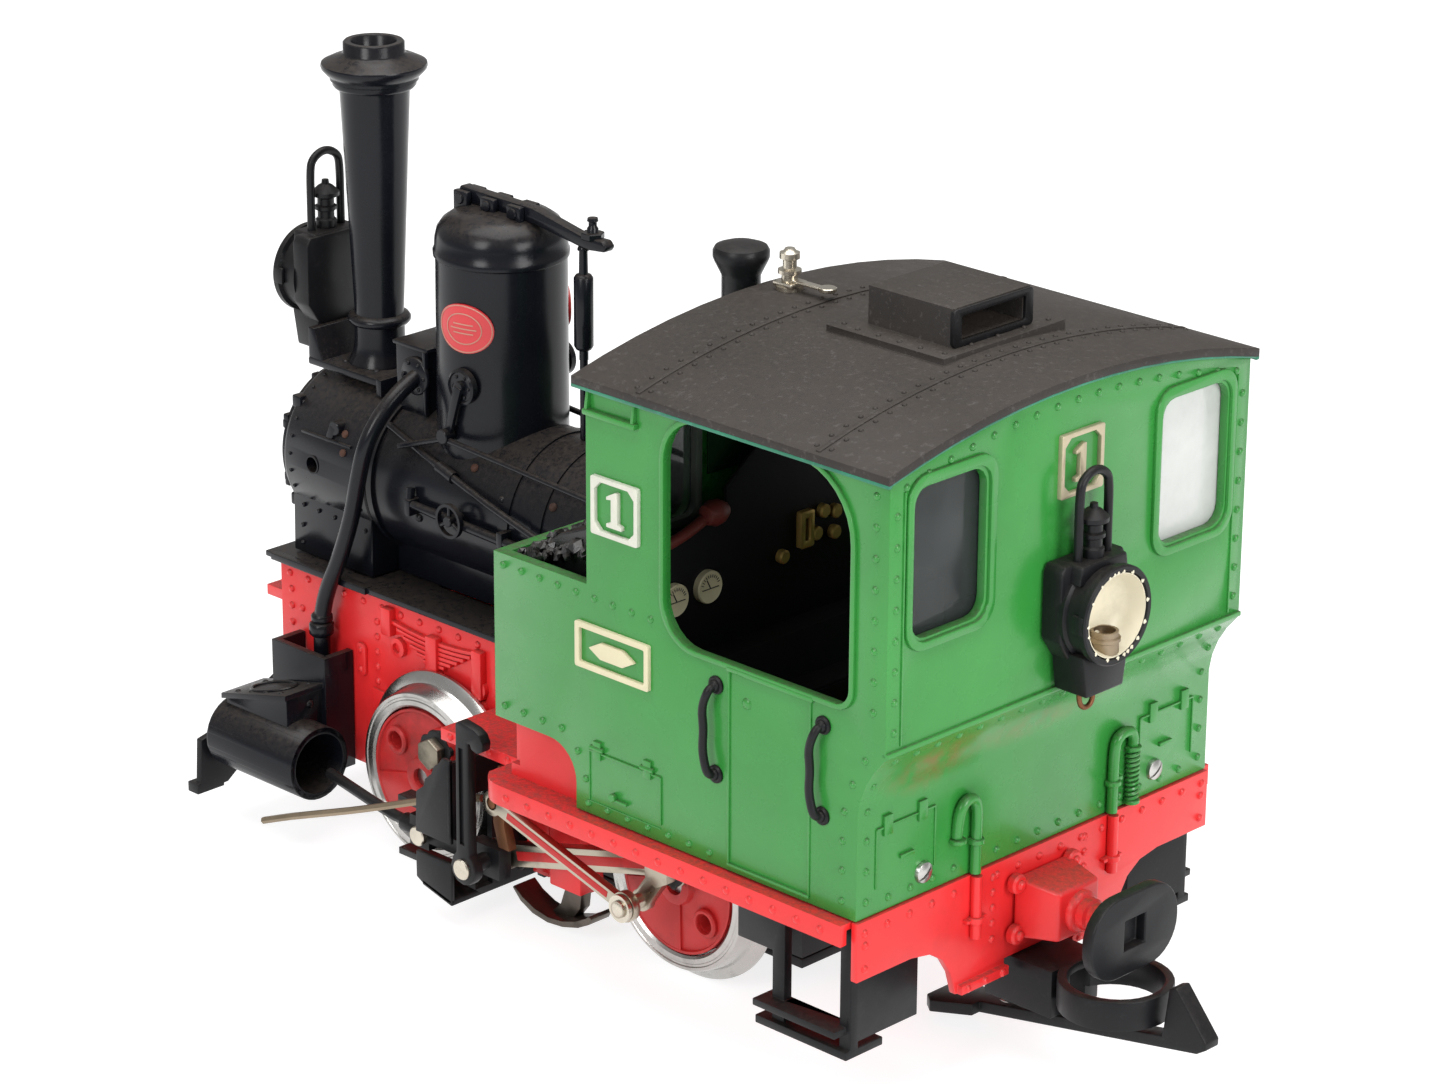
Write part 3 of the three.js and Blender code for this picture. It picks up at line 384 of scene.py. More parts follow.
def make_finishes():
    stains = (((-4, 30, 24), (6, 17, 7), STAIN_TINT, 0.75),
              ((-4, 4, 24.5), (6, 20, 4), STAIN_TINT, 0.45),
              ((-4, -14, 27), (5, 8, 4), STAIN_TINT, 0.4))
    finish("green", "green_plastic", (0.030, 0.235, 0.038), 0.27, shade=0.07, grime=0.06,
           clear=0.15, blots=stains, dust=0.85, shine=0.45)
    finish("green_edge", "green_plastic", (0.012, 0.16, 0.09), 0.35, shade=0.3, worn=0.4, dust=0.5)
    # Painted shade: a near-black green for the sheets that stand for the shade inside the cab.
    finish("green_painted_shade", "green_plastic", (0.004, 0.026, 0.007), 0.6, shade=0.2, shine=0.2)
    finish("red", "red_plastic", (0.72, 0.022, 0.024), 0.34, shade=0.08, grime=0.14,
           clear=0.08, dust=0.75, shine=0.4)
    finish("red_wheel", "red_plastic", (0.46, 0.020, 0.020), 0.42, shade=0.12, grime=0.55, shine=0.35)
    finish("black", "black_plastic", (0.0052, 0.0058, 0.0086), 0.22, shade=0.15, dust=0.6,
           worn=0.04, shine=0.24)
    finish("black_plain", "black_plastic", (0.0070, 0.0072, 0.0085), 0.38, shade=0.2, dust=0.3,
           worn=0.12, shine=0.24)
    finish("roof", "roof_plastic", (0.024, 0.020, 0.0175), 0.55, shade=0.25, dust=0.5,
           grime=0.25, worn=0.55, grain=0.06, shine=0.35)
    finish("dark_inside", "black_plastic", (0.004, 0.004, 0.005), 0.55, shade=0.3, dust=0.1, shine=0.2)
    finish("tyre", "wheel_steel", (0.50, 0.49, 0.47), 0.27, 1.0, shade=0.12, grime=0.35)
    finish("axle_steel", "wheel_steel", (0.34, 0.33, 0.32), 0.35, 1.0, shade=0.12, grime=0.4)
    finish("aged_steel", "rod_steel", (0.30, 0.27, 0.21), 0.38, 1.0, shade=0.25, grime=0.6)
    finish("shoe_steel", "rod_steel", (0.115, 0.098, 0.082), 0.34, 0.85, shade=0.3, grime=0.7)
    finish("nickel", "rod_steel", (0.43, 0.385, 0.31), 0.30, 1.0, shade=0.12, grime=0.32)
    finish("pin_nickel", "rod_steel", (0.60, 0.55, 0.46), 0.27, 1.0, shade=0.10, grime=0.2)
    finish("rust", "link_brass", (0.055, 0.018, 0.008), 0.75, shade=0.4, grime=0.3, grain=0.08)
    finish("copper", "link_brass", (0.20, 0.085, 0.038), 0.45, 0.8, shade=0.3, grime=0.6)
    finish("bronze", "link_brass", (0.28, 0.22, 0.15), 0.42, 0.9, shade=0.2, grime=0.3)
    finish("brass", "worm_brass", (0.50, 0.34, 0.10), 0.40, 0.6, shade=0.2, grime=0.25)
    finish("plate_metal", "worm_brass", (0.52, 0.45, 0.31), 0.38, 0.5, shade=0.12, grime=0.2)
    finish("cream", "black_plastic", (0.66, 0.60, 0.40), 0.45, shade=0.06, grime=0.06)
    finish("white_paint", "black_plastic", (0.62, 0.62, 0.53), 0.5, shade=0.08, grime=0.12)
    finish("pane_frame", "black_plastic", (0.10, 0.12, 0.10), 0.4, shade=0.1)
    finish("reflector", "black_plastic", (0.72, 0.66, 0.50), 0.42, shade=0.10, grime=0.2)
    finish("plate_red", "red_plastic", (0.60, 0.022, 0.028), 0.33, shade=0.12, clear=0.3)
    finish("plate_edge", "red_plastic", (0.50, 0.24, 0.18), 0.4, shade=0.12)
    finish("coal", "black_plastic", (0.007, 0.007, 0.0075), 0.25, shade=0.5, dust=0.45, grain=0.1)
    finish("motor_can", "motor_steel", (0.5, 0.5, 0.5), 0.3, 1.0)
    finish("lever_red", "red_plastic", (0.11, 0.018, 0.014), 0.5, shade=0.25, grime=0.3)
    finish("ink", "black_plastic", (0.02, 0.02, 0.02), 0.6)
    glazing("glass_dull", (0.045, 0.052, 0.052), 0.30, 0.62)
    glazing("glass_shaded", (0.06, 0.07, 0.07), 0.72, 0.9)
    glazing("glass_frosted", (0.62, 0.63, 0.61), 0.70, 0.98)


# ---- bench tools ----
def clear():
    bpy.ops.object.select_all(action="DESELECT")


def pick(*objects):
    clear()
    for obj in objects:
        obj.select_set(True)
    bpy.context.view_layer.objects.active = objects[0]


def settle(obj):
    pick(obj)
    bpy.ops.object.transform_apply(location=True, rotation=True, scale=True)
    return obj


def edit(obj):
    """Opens a mesh with all of it selected; leave() closes it."""
    pick(obj)
    bpy.ops.object.mode_set(mode="EDIT")
    bpy.ops.mesh.select_all(action="SELECT")


def leave():
    bpy.ops.object.mode_set(mode="OBJECT")


def apply_modifier(obj, kind, **settings):
    modifier = obj.modifiers.new(kind.lower(), kind)
    for name, value in settings.items():
        setattr(modifier, name, value)
    pick(obj)
    bpy.ops.object.modifier_apply(modifier=modifier.name)


def soften(obj, width, segments=2, angle=30):
    """Rounds the sharp edges."""
    apply_modifier(obj, "BEVEL", width=width * MM, segments=segments, limit_method="ANGLE",
                   angle_limit=math.radians(angle))
    return obj


def joined(objects):
    objects = list(objects)
    pick(*objects)
    if len(objects) > 1:
        bpy.ops.object.join()
    return bpy.context.view_layer.objects.active


def carve(obj, *tools):
    for tool in tools:
        apply_modifier(obj, "BOOLEAN", operation="DIFFERENCE", object=tool, solver="EXACT")
        bpy.data.objects.remove(tool)
    return obj


def block(x0, x1, y0, y1, z0, z1, edge=0.2):
    """A box between two places on each axis."""
    clear()
    bpy.ops.mesh.primitive_cube_add(size=1, location=at((x0 + x1) / 2, (y0 + y1) / 2, (z0 + z1) / 2))
    obj = bpy.context.object
    obj.scale = Vector((x1 - x0, y1 - y0, z1 - z0)) * MM
    settle(obj)
    return soften(obj, edge) if edge else obj


def chain(places):
    """Edges through the places: one corner drawn out by extrusion."""
    clear()
    bpy.ops.mesh.primitive_plane_add(size=MM, location=places[0])
    bpy.ops.object.mode_set(mode="EDIT")
    bpy.ops.mesh.select_all(action="SELECT")
    bpy.ops.mesh.merge(type="CENTER")
    for before, after in zip(places, places[1:]):
        bpy.ops.mesh.extrude_region_move(TRANSFORM_OT_translate={"value": after - before})
    leave()
    return bpy.context.object


def turned(profile, axis, centre, steps=96):
    """A profile of (radius, place along the axis), spun about that axis."""
    along = "xyz".index(axis)
    across = (along + 1) % 3

    def spot(radius, place):
        where = list(centre)
        where[along] = place
        where[across] += radius
        return at(*where)

    obj = chain([spot(r, a) for r, a in profile])
    edit(obj)
    bpy.ops.mesh.spin(steps=steps, angle=math.tau, center=at(*centre), axis=AXIS[axis])
    bpy.ops.mesh.select_all(action="SELECT")
    bpy.ops.mesh.remove_doubles(threshold=MERGE)
    bpy.ops.mesh.normals_make_consistent(inside=False)
    leave()
    return settle(obj)


def bar(axis, start, end, u, v, radius, steps=32, edge=0.15, tip=None):
    """A round bar along an axis, its ends chamfered; tip is the radius at the far end."""
    tip = radius if tip is None else tip
    centre = {"x": (0, u, v), "y": (u, 0, v), "z": (u, v, 0)}[axis]
    edge = min(edge, radius / 3, abs(end - start) / 3)
    way = 1 if end > start else -1
    profile = [(0, start), (radius - edge, start), (radius, start + edge * way),
               (tip, end - edge * way), (tip - edge, end), (0, end)]
    return turned(profile, axis, centre, steps)


def sheet(axis, low, high, outline, edge=0.15):
    """A plate: an outline across the axis, drawn out from one place on it to another."""
    def spot(u, v):
        return {"x": (low, u, v), "y": (u, low, v), "z": (u, v, low)}[axis]

    obj = chain([at(*spot(u, v)) for u, v in outline])
    edit(obj)
    bpy.ops.mesh.edge_face_add()
    bpy.ops.mesh.extrude_region_move(TRANSFORM_OT_translate={"value": AXIS[axis] * (high - low) * MM})
    bpy.ops.mesh.select_all(action="SELECT")
    bpy.ops.mesh.normals_make_consistent(inside=False)
    leave()
    settle(obj)
    return soften(obj, edge) if edge else obj


def rounded(u0, u1, v0, v1, radii, steps=6):
    """A rectangle with round corners; radii run from the low corner round by the low side."""
    a, b, c, d = radii if isinstance(radii, tuple) else (radii,) * 4
    corners = ((u0 + a, v0 + a, a, 180), (u1 - b, v0 + b, b, 270), (u1 - c, v1 - c, c, 0),
               (u0 + d, v1 - d, d, 90))
    outline = []
    for u, v, r, start in corners:
        for i in range(steps + 1):
            turn = math.radians(start + 90 * i / steps)
            outline.append((u + r * math.cos(turn), v + r * math.sin(turn)))
    return outline


def hoop(axis, centre, r0, r1, a0, a1, steps):
    """A flat-sided ring between two radii and two places along the axis."""
    return turned([(r0, a0), (r1, a0), (r1, a1), (r0, a1), (r0, a0)], axis, centre, steps)


def framed(axis, low, high, outer, inner, edge=0.2):
    """A flat frame: one outline with another cut out of it."""
    frame_piece = sheet(axis, low, high, outer, 0)
    carve(frame_piece, sheet(axis, low - 2, high + 2, inner, 0))
    return soften(frame_piece, edge)


def wire(places, radius, closed=False, smooth=True, ring=3):
    """A round wire along a route."""
    data = bpy.data.curves.new("wire", "CURVE")
    data.dimensions = "3D"
    spline = data.splines.new("NURBS" if smooth else "POLY")
    spline.points.add(len(places) - 1)
    for point, place in zip(spline.points, places):
        point.co = (*at(*place), 1)
    spline.use_cyclic_u = closed
    spline.use_endpoint_u = not closed
    spline.order_u = 3
    spline.resolution_u = 5
    data.bevel_depth = radius * MM
    data.bevel_resolution = ring
    data.use_fill_caps = True
    obj = bpy.data.objects.new("wire", data)
    bpy.context.collection.objects.link(obj)
    pick(obj)
    bpy.ops.object.convert(target="MESH")
    obj = bpy.context.object
    edit(obj)
    bpy.ops.mesh.remove_doubles(threshold=MERGE)
    leave()
    return obj


def studs(places, facing, radius=0.74, height=0.52, sides=10):
    """One low dome, copied to each place; facing is one direction, or one for each place."""
    clear()
    bpy.ops.mesh.primitive_uv_sphere_add(segments=sides, ring_count=6, radius=radius * MM)
    seed = bpy.context.object
    seed.scale.z = height / radius
    settle(seed)
    edit(seed)
    bpy.ops.mesh.bisect(plane_co=(0, 0, -0.1 * MM), plane_no=(0, 0, 1), use_fill=True, clear_inner=True)
    leave()
    facings = facing if isinstance(facing, list) else [facing] * len(places)
    copies = []
    for place, way in zip(places, facings):
        twin = bpy.data.objects.new("stud", seed.data.copy())
        bpy.context.collection.objects.link(twin)
        twin.matrix_world = Matrix.Translation(at(*place)) @ facing_matrix(way, "Z")
        copies.append(twin)
    bpy.data.objects.remove(seed)
    return settle(joined(copies))


def keep(obj, name, body, finish_name, replaces=(), smooth=38):
    """Names a piece, gives it its finish and sets it on its body."""
    material, slot = FINISHES[finish_name]
    obj.name = name
    obj.data.name = name
    obj.data.materials.clear()
    obj.data.materials.append(material)
    settle(obj)
    bpy.ops.object.shade_smooth_by_angle(angle=math.radians(smooth))
    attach(obj, body)
    if replaces:
        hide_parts(*replaces)
    return obj


def body_of(node):
    """The body that a frame node belongs to."""
    for body, nodes in frame["record"]["behaviour"]["bodies"].items():
        if node in nodes:
            return body
    raise ValueError(node)


def refined(node, edge=0.25, segments=2, angle=32):
    """A copy of a frame node with its facets merged and its edges rounded."""
    obj = bpy.data.objects.new(node + "_shell", frame["nodes"][node].data.copy())
    bpy.context.collection.objects.link(obj)
    edit(obj)
    bpy.ops.mesh.customdata_custom_splitnormals_clear()
    bpy.ops.mesh.remove_doubles(threshold=MERGE)
    bpy.ops.mesh.dissolve_limited(angle_limit=math.radians(0.5))
    leave()
    return soften(obj, edge, segments, angle) if edge else obj


def refinish(node, finish_name, edge=0.25, segments=2):
    """Puts a finished copy in a frame node's place."""
    return keep(refined(node, edge, segments), node + "_shell", body_of(node), finish_name, (node,))


# ---- cab ----
def curved_rear(z):
    """How far forward the lower rear wall stands at a height."""
    if z >= BEND_TOP:
        return REAR_X
    if z <= BEND_FOOT:
        return 0.0
    t = 0.0
    while BEND_TOP * (1 - t) ** 2 + 53 * t * (1 - t) + BEND_FOOT * t ** 2 > z:
        t += 0.01
    return REAR_X * (1 - t) ** 2 - 1.2 * t * (1 - t)


def build_cab():
    """Cab and side tanks with their rivets, ledge and corner lips."""
    refinish("cab_body", "green", 0.35)
    arc = [(REAR_X, y, roof_z(y) - 4.6) for y in REAR_RIVET_YS]
    corner = [(REAR_X, side * 46.1, z) for side in (1, -1) for z in [76 - 5.6 * i for i in range(8)]]
    keep(studs(arc + corner, BACKWARD), "cab_rear_rivets", ENGINE, "green")
    band = [(curved_rear(30.6), y, 30.6) for y in REAR_RIVET_YS]
    low_corner = [(curved_rear(z), side * 45.6, z) for side in (1, -1)
                  for z in (25.4, 20.2, 14.6, 8.8, 3)]
    sole = [(0, y, 2.2) for y in [-40 + 5.7 * i for i in range(15)]]
    keep(studs(band, (-1, 0, -0.35)), "cab_band_rivets", ENGINE, "green")
    keep(studs(low_corner + sole, BACKWARD), "cab_low_rivets", ENGINE, "green")
    ledge = block(REAR_X - 0.6, REAR_X + 1, -CAB_HALF, CAB_HALF, 32.5, 33.5, 0.25)
    lips = [block(REAR_X - 0.35, REAR_X + 1, side * 44.4 - 0.2, side * 44.4 + 0.2, 34, 80, 0.12)
            for side in (1, -1)]
    keep(joined([ledge] + lips), "cab_ledge", ENGINE, "green")
    for side, word in SIDES:
        wall = side * CAB_HALF
        rear_column = [(-3.2, wall, z) for z in [79.4 - 5.6 * i for i in range(8)]]
        rear_curve = [(x, wall, z) for x, z in ((-1.6, 30.8), (1.2, 25.6), (3.1, 20), (3.4, 14.4),
                                                (3.4, 8.8), (3.4, 3))]
        top_row = row((88.8, wall, 42.4), (50.4, wall, 42.4), 9)
        lower_row = row((88.8, wall, 14.6), (73.6, wall, 14.6), 4)
        wheel_curve = [(69.4, wall, 11.4), (67.2, wall, 6.6), (66.6, wall, 1.9)]
        sole_row = row((61.6, wall, 1.9), (35.6, wall, 1.9), 6)
        places = rear_column + rear_curve + top_row + lower_row + wheel_curve + sole_row
        keep(studs(places, (0, side, 0)), "cab_side_rivets_" + word, ENGINE, "green")
        build_side_relief(side, word)
        build_handrails(side, word)
    build_rear_relief()
    build_glazing()


def build_side_relief(side, word):
    """Door panel, hatch, rain strip, window bead and the two plates on one side of the cab."""
    wall = side * CAB_HALF

    def strip(x0, x1, z0, z1, proud=0.4, edge=0.12):
        return block(x0, x1, *sorted((wall - side, wall + side * proud)), z0, z1, edge)

    door = [strip(30.5, 31.1, 1.2, 38.6), strip(11.0, 11.5, 1.2, 38.4, 0.3),
            strip(11, 31, 0.9, 1.6, 0.45), strip(10.4, 31.2, 38.2, 39.2, 0.7, 0.3),
            studs([(26.6, wall, 33.2)], (0, side, 0), 1.1, 0.5, 16)]
    keep(joined(door), "cab_door_relief_" + word, ENGINE, "green")
    bead = rounded(1.1, 48.0, 38.6, 82.9, (4.2, 8.8, 9.8, 13.8), 8)
    hole = rounded(2.2, 46.9, 39.7, 81.8, (3.2, 7.7, 8.7, 12.7), 8)
    rim = framed("y", *sorted((wall - side, wall + side * 0.55)), bead, hole, 0.25)
    keep(rim, "cab_opening_rim_" + word, ENGINE, "green")
    rain = [strip(53.4, 66.6, 77.2, 78.4, 1.3, 0.35)]
    gusset = [(wall - side, 77.6), (wall + side * 1.2, 77.6), (wall + side * 0.4, 83), (wall - side, 83)]
    rain += [sheet("x", x - 0.35, x + 0.35, gusset, 0.1) for x in (54.2, 65.8)]
    keep(joined(rain), "cab_rain_strip_" + word, ENGINE, "green")
    hatch = [strip(*sizes) for sizes in (
        (47.6, 48.0, 3.4, 12.8, 0.3), (66.0, 66.3, 2.8, 12.6, 0.18), (47.8, 66.2, 12.5, 12.9, 0.35),
        (47.8, 66.2, 2.5, 2.8, 0.16), (63, 65, 11.4, 14.9, 0.5), (50.1, 52.1, 11.6, 15.1, 0.5),
        (56.2, 60, 4.5, 5.0, 0.6))]
    hatch += [bar("x", x - 1.7, x + 1.7, wall + side * 0.3, 13.5, 0.5, 12) for x in (64, 51.1)]
    hatch.append(bar("y", *sorted((wall, wall + side * 0.9)), 59.8, 5.2, 0.8, 16))
    keep(joined(hatch), "tank_hatch_" + word, ENGINE, "green")
    build_number_plate("y", side, (58.9, 60.8), 5.9, 5.5, wall, "side_number_" + word, "white_paint")
    frame_low, frame_high = sorted((wall - side * 0.5, wall + side * 0.8))
    outer = rounded(50.4, 69.2, 28.6, 37.4, 0.4, 2)
    inner = rounded(51.5, 68.1, 29.7, 36.3, 0.3, 2)
    keep(framed("y", frame_low, frame_high, outer, inner, 0.1), "tank_plate_edge_" + word, ENGINE, "cream")
    lozenge = [(54, 33), (57, 31.4), (62.6, 31.4), (65.6, 33), (62.6, 34.6), (57, 34.6)]
    keep(sheet("y", frame_low, frame_high, lozenge, 0.12), "tank_plate_lozenge_" + word, ENGINE, "cream")


NUMERAL = [(-1.9, -3.4), (1.9, -3.4), (1.9, -2.7), (0.85, -2.4), (0.85, 3.4), (0.1, 3.4), (-1.9, 2.3),
           (-1.9, 1.7), (-0.75, 1.9), (-0.75, -2.4), (-1.9, -2.7)]


def build_number_plate(axis, side, middle, half_u, half_v, wall, name, finish_name):
    """A plain numeral inside a chamfered frame. On the rear wall, axis is x and side is -1."""
    low, high = sorted((wall - side * 0.5, wall + side * 0.9))
    u, v = middle
    outer = rounded(u - half_u, u + half_u, v - half_v, v + half_v, 0.4, 2)
    cut = 1.5
    in_u, in_v = half_u - 0.9, half_v - 0.9
    inner = [(u - in_u + cut, v - in_v), (u + in_u - cut, v - in_v),
             (u + in_u, v - in_v + cut), (u + in_u, v + in_v - cut),
             (u + in_u - cut, v + in_v), (u - in_u + cut, v + in_v),
             (u - in_u, v + in_v - cut), (u - in_u, v - in_v + cut)]
    mirror = -side if axis == "y" else -1
    numeral = [(u + mirror * a, v + b) for a, b in NUMERAL]
    plate = joined([framed(axis, low, high, outer, inner, 0.1), sheet(axis, low, high, numeral, 0.1)])
    keep(plate, name, ENGINE, finish_name)


def build_handrails(side, word):
    """Two hand-forged grab rails with round feet on each side of the doorway."""
    wall = side * CAB_HALF
    for number, x in enumerate((34.0, 8.2)):
        route = ((0, -0.5, 34.6), (0, 1.2, 34.7), (0.2, 2.3, 33.8), (1.5, 2.3, 30.4), (0.9, 2.3, 26.6),
                 (1.3, 2.3, 22.6), (0.2, 2.3, 18.6), (0, 1.2, 17.7), (0, -0.5, 17.8))
        rail = wire([(x + dx, wall + side * out, z) for dx, out, z in route], 0.8)
        foot_low, foot_high = sorted((wall - side * 0.3, wall + side * 0.7))
        feet = [bar("y", foot_low, foot_high, x, z, 1.7, 24, 0.3) for z in (34.7, 17.7)]
        knobs = [studs([(x, wall + side * 0.6, z)], (0, side, 0), 1.15, 0.9, 14) for z in (34.7, 17.7)]
        keep(joined([rail] + feet + knobs), f"grab_rail_{number}_{word}", ENGINE, "black_plain")


def build_rear_relief():
    """Window frames, number plate, pipes, hatches and screws on the rear wall."""
    for side, word in SIDES:
        outer = rounded(*mirrored(side, 21.2, 43.9), 50.2, 82.2, 4.6)
        inner = rounded(*mirrored(side, 22.9, 42.4), 51.8, 80.2, 3.6)
        surround = framed("x", REAR_X - 0.7, REAR_X + 0.4, outer, inner, 0.3)
        keep(surround, "rear_window_frame_" + word, ENGINE, "green")
    build_number_plate("x", -1, (-0.8, 74.4), 5.7, 5.9, REAR_X, "rear_number", "plate_metal")
    pipe = wire([(-0.6, 22.7, 8.4), (-0.9, 22.7, 12.4), (-1.2, 21.8, 14.6), (-1.2, 20.2, 15.3),
                 (-1.2, 18.6, 14.6), (-1.1, 17.9, 12.4), (-1.0, 17.9, 6), (-1.0, 17.9, 0.2)], 1.05)
    keep(pipe, "rear_pipe_left", ENGINE, "green")
    pipe = wire([(-0.8, -25.2, 11.4), (-1.1, -25.2, 13), (-1.2, -24.4, 14.9), (-1.2, -22.6, 15.4),
                 (-1.2, -20.6, 14.9), (-1.1, -19.7, 13), (-1.0, -19.7, 6), (-1.0, -19.7, 0.2)], 1.05)
    turns = [(-1 - 0.95 * math.cos(a), -25.2 + 1.25 * math.sin(a), 11.2 - a / math.tau * 0.95)
             for a in [math.tau * i / 10 for i in range(105)]]
    spring = wire(turns, 0.36, ring=1)
    caps = [bar("z", z, z + 0.8, -1, -25.2, 1.6, 20) for z in (0.4, 11)]
    keep(joined([pipe, spring] + caps), "rear_pipe_right", ENGINE, "green")
    red_pipes = []
    for y, end in ((17.9, -12.4), (-19.7, -11.6)):
        red_pipes += [wire([(-1.4, y, -0.3), (-1.4, y, -6), (-1.4, y, end)], 1.05, smooth=False),
                      bar("z", -9.4, -8.2, -1.3, y, 1.6, 20),
                      block(-1.8, -0.4, y - 2.6, y + 2.6, -9.1, -8.4, 0.2)]
    keep(joined(red_pipes), "beam_pipes", ENGINE, "red")
    clips = [block(-1.7, 0.4, y - 3.4, y - 1, 6.2, 7.1, 0.25) for y in (20.3, -18.4)]
    clips += [bar("z", 7.4, 8.2, -0.9, 22.7, 1.6, 20), bar("z", 5.9, 6.9, -1, 17.9, 1.55, 20),
              bar("z", 5.6, 6.6, -1, -19.7, 1.55, 20)]
    keep(joined(clips), "rear_pipe_clips", ENGINE, "green")
    for side, word in SIDES:
        hatch = [block(-proud, 0.6, *mirrored(side, near, far), z0, z1, 0.1)
                 for near, far, z0, z1, proud in (
                     (27.8, 28.2, 4.6, 16, 0.3), (43, 43.4, 4.8, 16, 0.3), (28, 43.2, 15.8, 16.2, 0.4),
                     (30.4, 32.6, 14.4, 18.2, 0.6), (39.4, 41.6, 14.4, 18.2, 0.6),
                     (33.6, 37.2, 8.8, 9.5, 0.6))]
        keep(joined(hatch), "rear_hatch_" + word, ENGINE, "green")
    for y, z, name in ((30.9, 4.2, "left"), (-32.5, 4.6, "right")):
        head = turned([(0, 0.4), (2.1, 0.4), (2.1, -0.2), (1.9, -0.7), (1.1, -1.1), (0, -1.25)], "x",
                      (0, y, z), 40)
        slot_tool = block(-1.8, -0.55, y - 2.6, y + 2.6, z - 0.25, z + 0.25, 0)
        edit(slot_tool)
        bpy.ops.transform.rotate(value=math.radians(38), orient_axis="X", center_override=at(-1, y, z))
        leave()
        keep(carve(head, slot_tool), "body_screw_" + name, ENGINE, "tyre")


def build_glazing():
    """Scuffed clear panes set back in the four small windows."""
    for side, word in SIDES:
        y0, y1 = mirrored(side, 22.6, 42.8)
        outline = rounded(y0, y1, 51.4, 80.4, 3.6)
        keep(sheet("x", REAR_X + 1.9, REAR_X + 2.4, outline, 0.1), "rear_pane_" + word, ENGINE,
             "glass_dull" if side > 0 else "glass_frosted")
        keep(sheet("x", 64.3, 64.8, outline, 0.1), "front_pane_" + word, ENGINE, "glass_shaded")
        inner = rounded(y0 + 1.7, y1 - 1.7, 53.1, 78.7, 2.6)
        keep(framed("x", 62.6, 64.2, outline, inner, 0.3), "front_pane_frame_" + word, ENGINE, "pane_frame")


def build_roof():
    """Arched roof with its seams, paint edge, vent mouth and whistle."""
    refinish("cab_roof", "roof", 0.3)
    places, ways = [], []
    reach, count = 47, 27
    for x in (11.6, 51.4, 8.2, 54.8):
        for i in range(count):
            y = -reach + 2 * reach * i / (count - 1)
            if 12 < x < 44 and abs(y) < 14:
                continue
            places.append((x, y, roof_z(y) - 0.05))
            ways.append(roof_normal(y))
    for x in (16, 40):
        places += [(x, y, 91.2) for y in (-17.6, -11, -4, 3, 10)]
        ways += [UPWARD] * 5
    for y in (-18.4, 10.8):
        places += [(x, y, 91.2) for x in (21, 26, 31, 36)]
        ways += [UPWARD] * 4
    keep(studs(places, ways, 0.5, 0.4, 8), "roof_rivets", ENGINE, "roof")
    bands = []
    for x in (9.9, 53.1):
        low_line = [(y, roof_z(y) - 0.5) for y in [-48.6 + 97.2 * i / 24 for i in range(25)]]
        high_line = [(y, roof_z(y) + 0.22) for y, _ in reversed(low_line)]
        bands.append(sheet("x", x - 0.5, x + 0.5, low_line + high_line, 0.08))
    keep(joined(bands), "roof_seams", ENGINE, "roof")
    edges = []
    for side in (1, -1):
        y0, y1 = sorted((side * (ROOF_HALF - 0.9), side * (ROOF_HALF + 0.05)))
        edges.append(block(ROOF_BACK, ROOF_FRONT, y0, y1, ROOF_EDGE - 2.1, ROOF_EDGE - 1.4, 0.15))
    for x in (ROOF_BACK + 0.05, ROOF_FRONT - 0.75):
        low_line = [(y, roof_z(y) - 2.0) for y in [-49 + 98 * i / 24 for i in range(25)]]
        high_line = [(y, roof_z(y) - 1.5) for y, _ in reversed(low_line)]
        edges.append(sheet("x", x, x + 0.7, low_line + high_line, 0.08))
    keep(joined(edges), "roof_paint_edge", ENGINE, "green_edge")
    vent = framed("x", 16.4, 17.3, rounded(-13.9, 7.3, 91.2, 98.2, 0.9, 3),
                  rounded(-11.8, 5.2, 92.4, 96.9, 0.5, 3), 0.2)
    keep(vent, "vent_mouth", ENGINE, "black_plain")
    whistle = turned([(0, 90.4), (2.6, 90.4), (2.6, 91.2), (1.5, 91.5), (1.5, 93.2), (2.2, 93.5), (2.2, 94.2),
                      (1.3, 94.5), (1.3, 96), (1.9, 96.3), (1.9, 97.4), (1.2, 97.7), (0.9, 98.2), (0, 98.3)],
                     "z", (62.9, 0, 0), 40)
    lever = block(53.4, 62.4, -0.9, 0.9, 92.0, 92.5, 0.15)
    grip = bar("z", 92.0, 92.8, 53.4, 0, 1.7, 20)
    clamp = block(60.4, 65.2, -2.2, 2.2, 91, 92.1, 0.3)
    keep(joined([whistle, lever, grip, clamp]), "whistle", ENGINE, "pin_nickel")


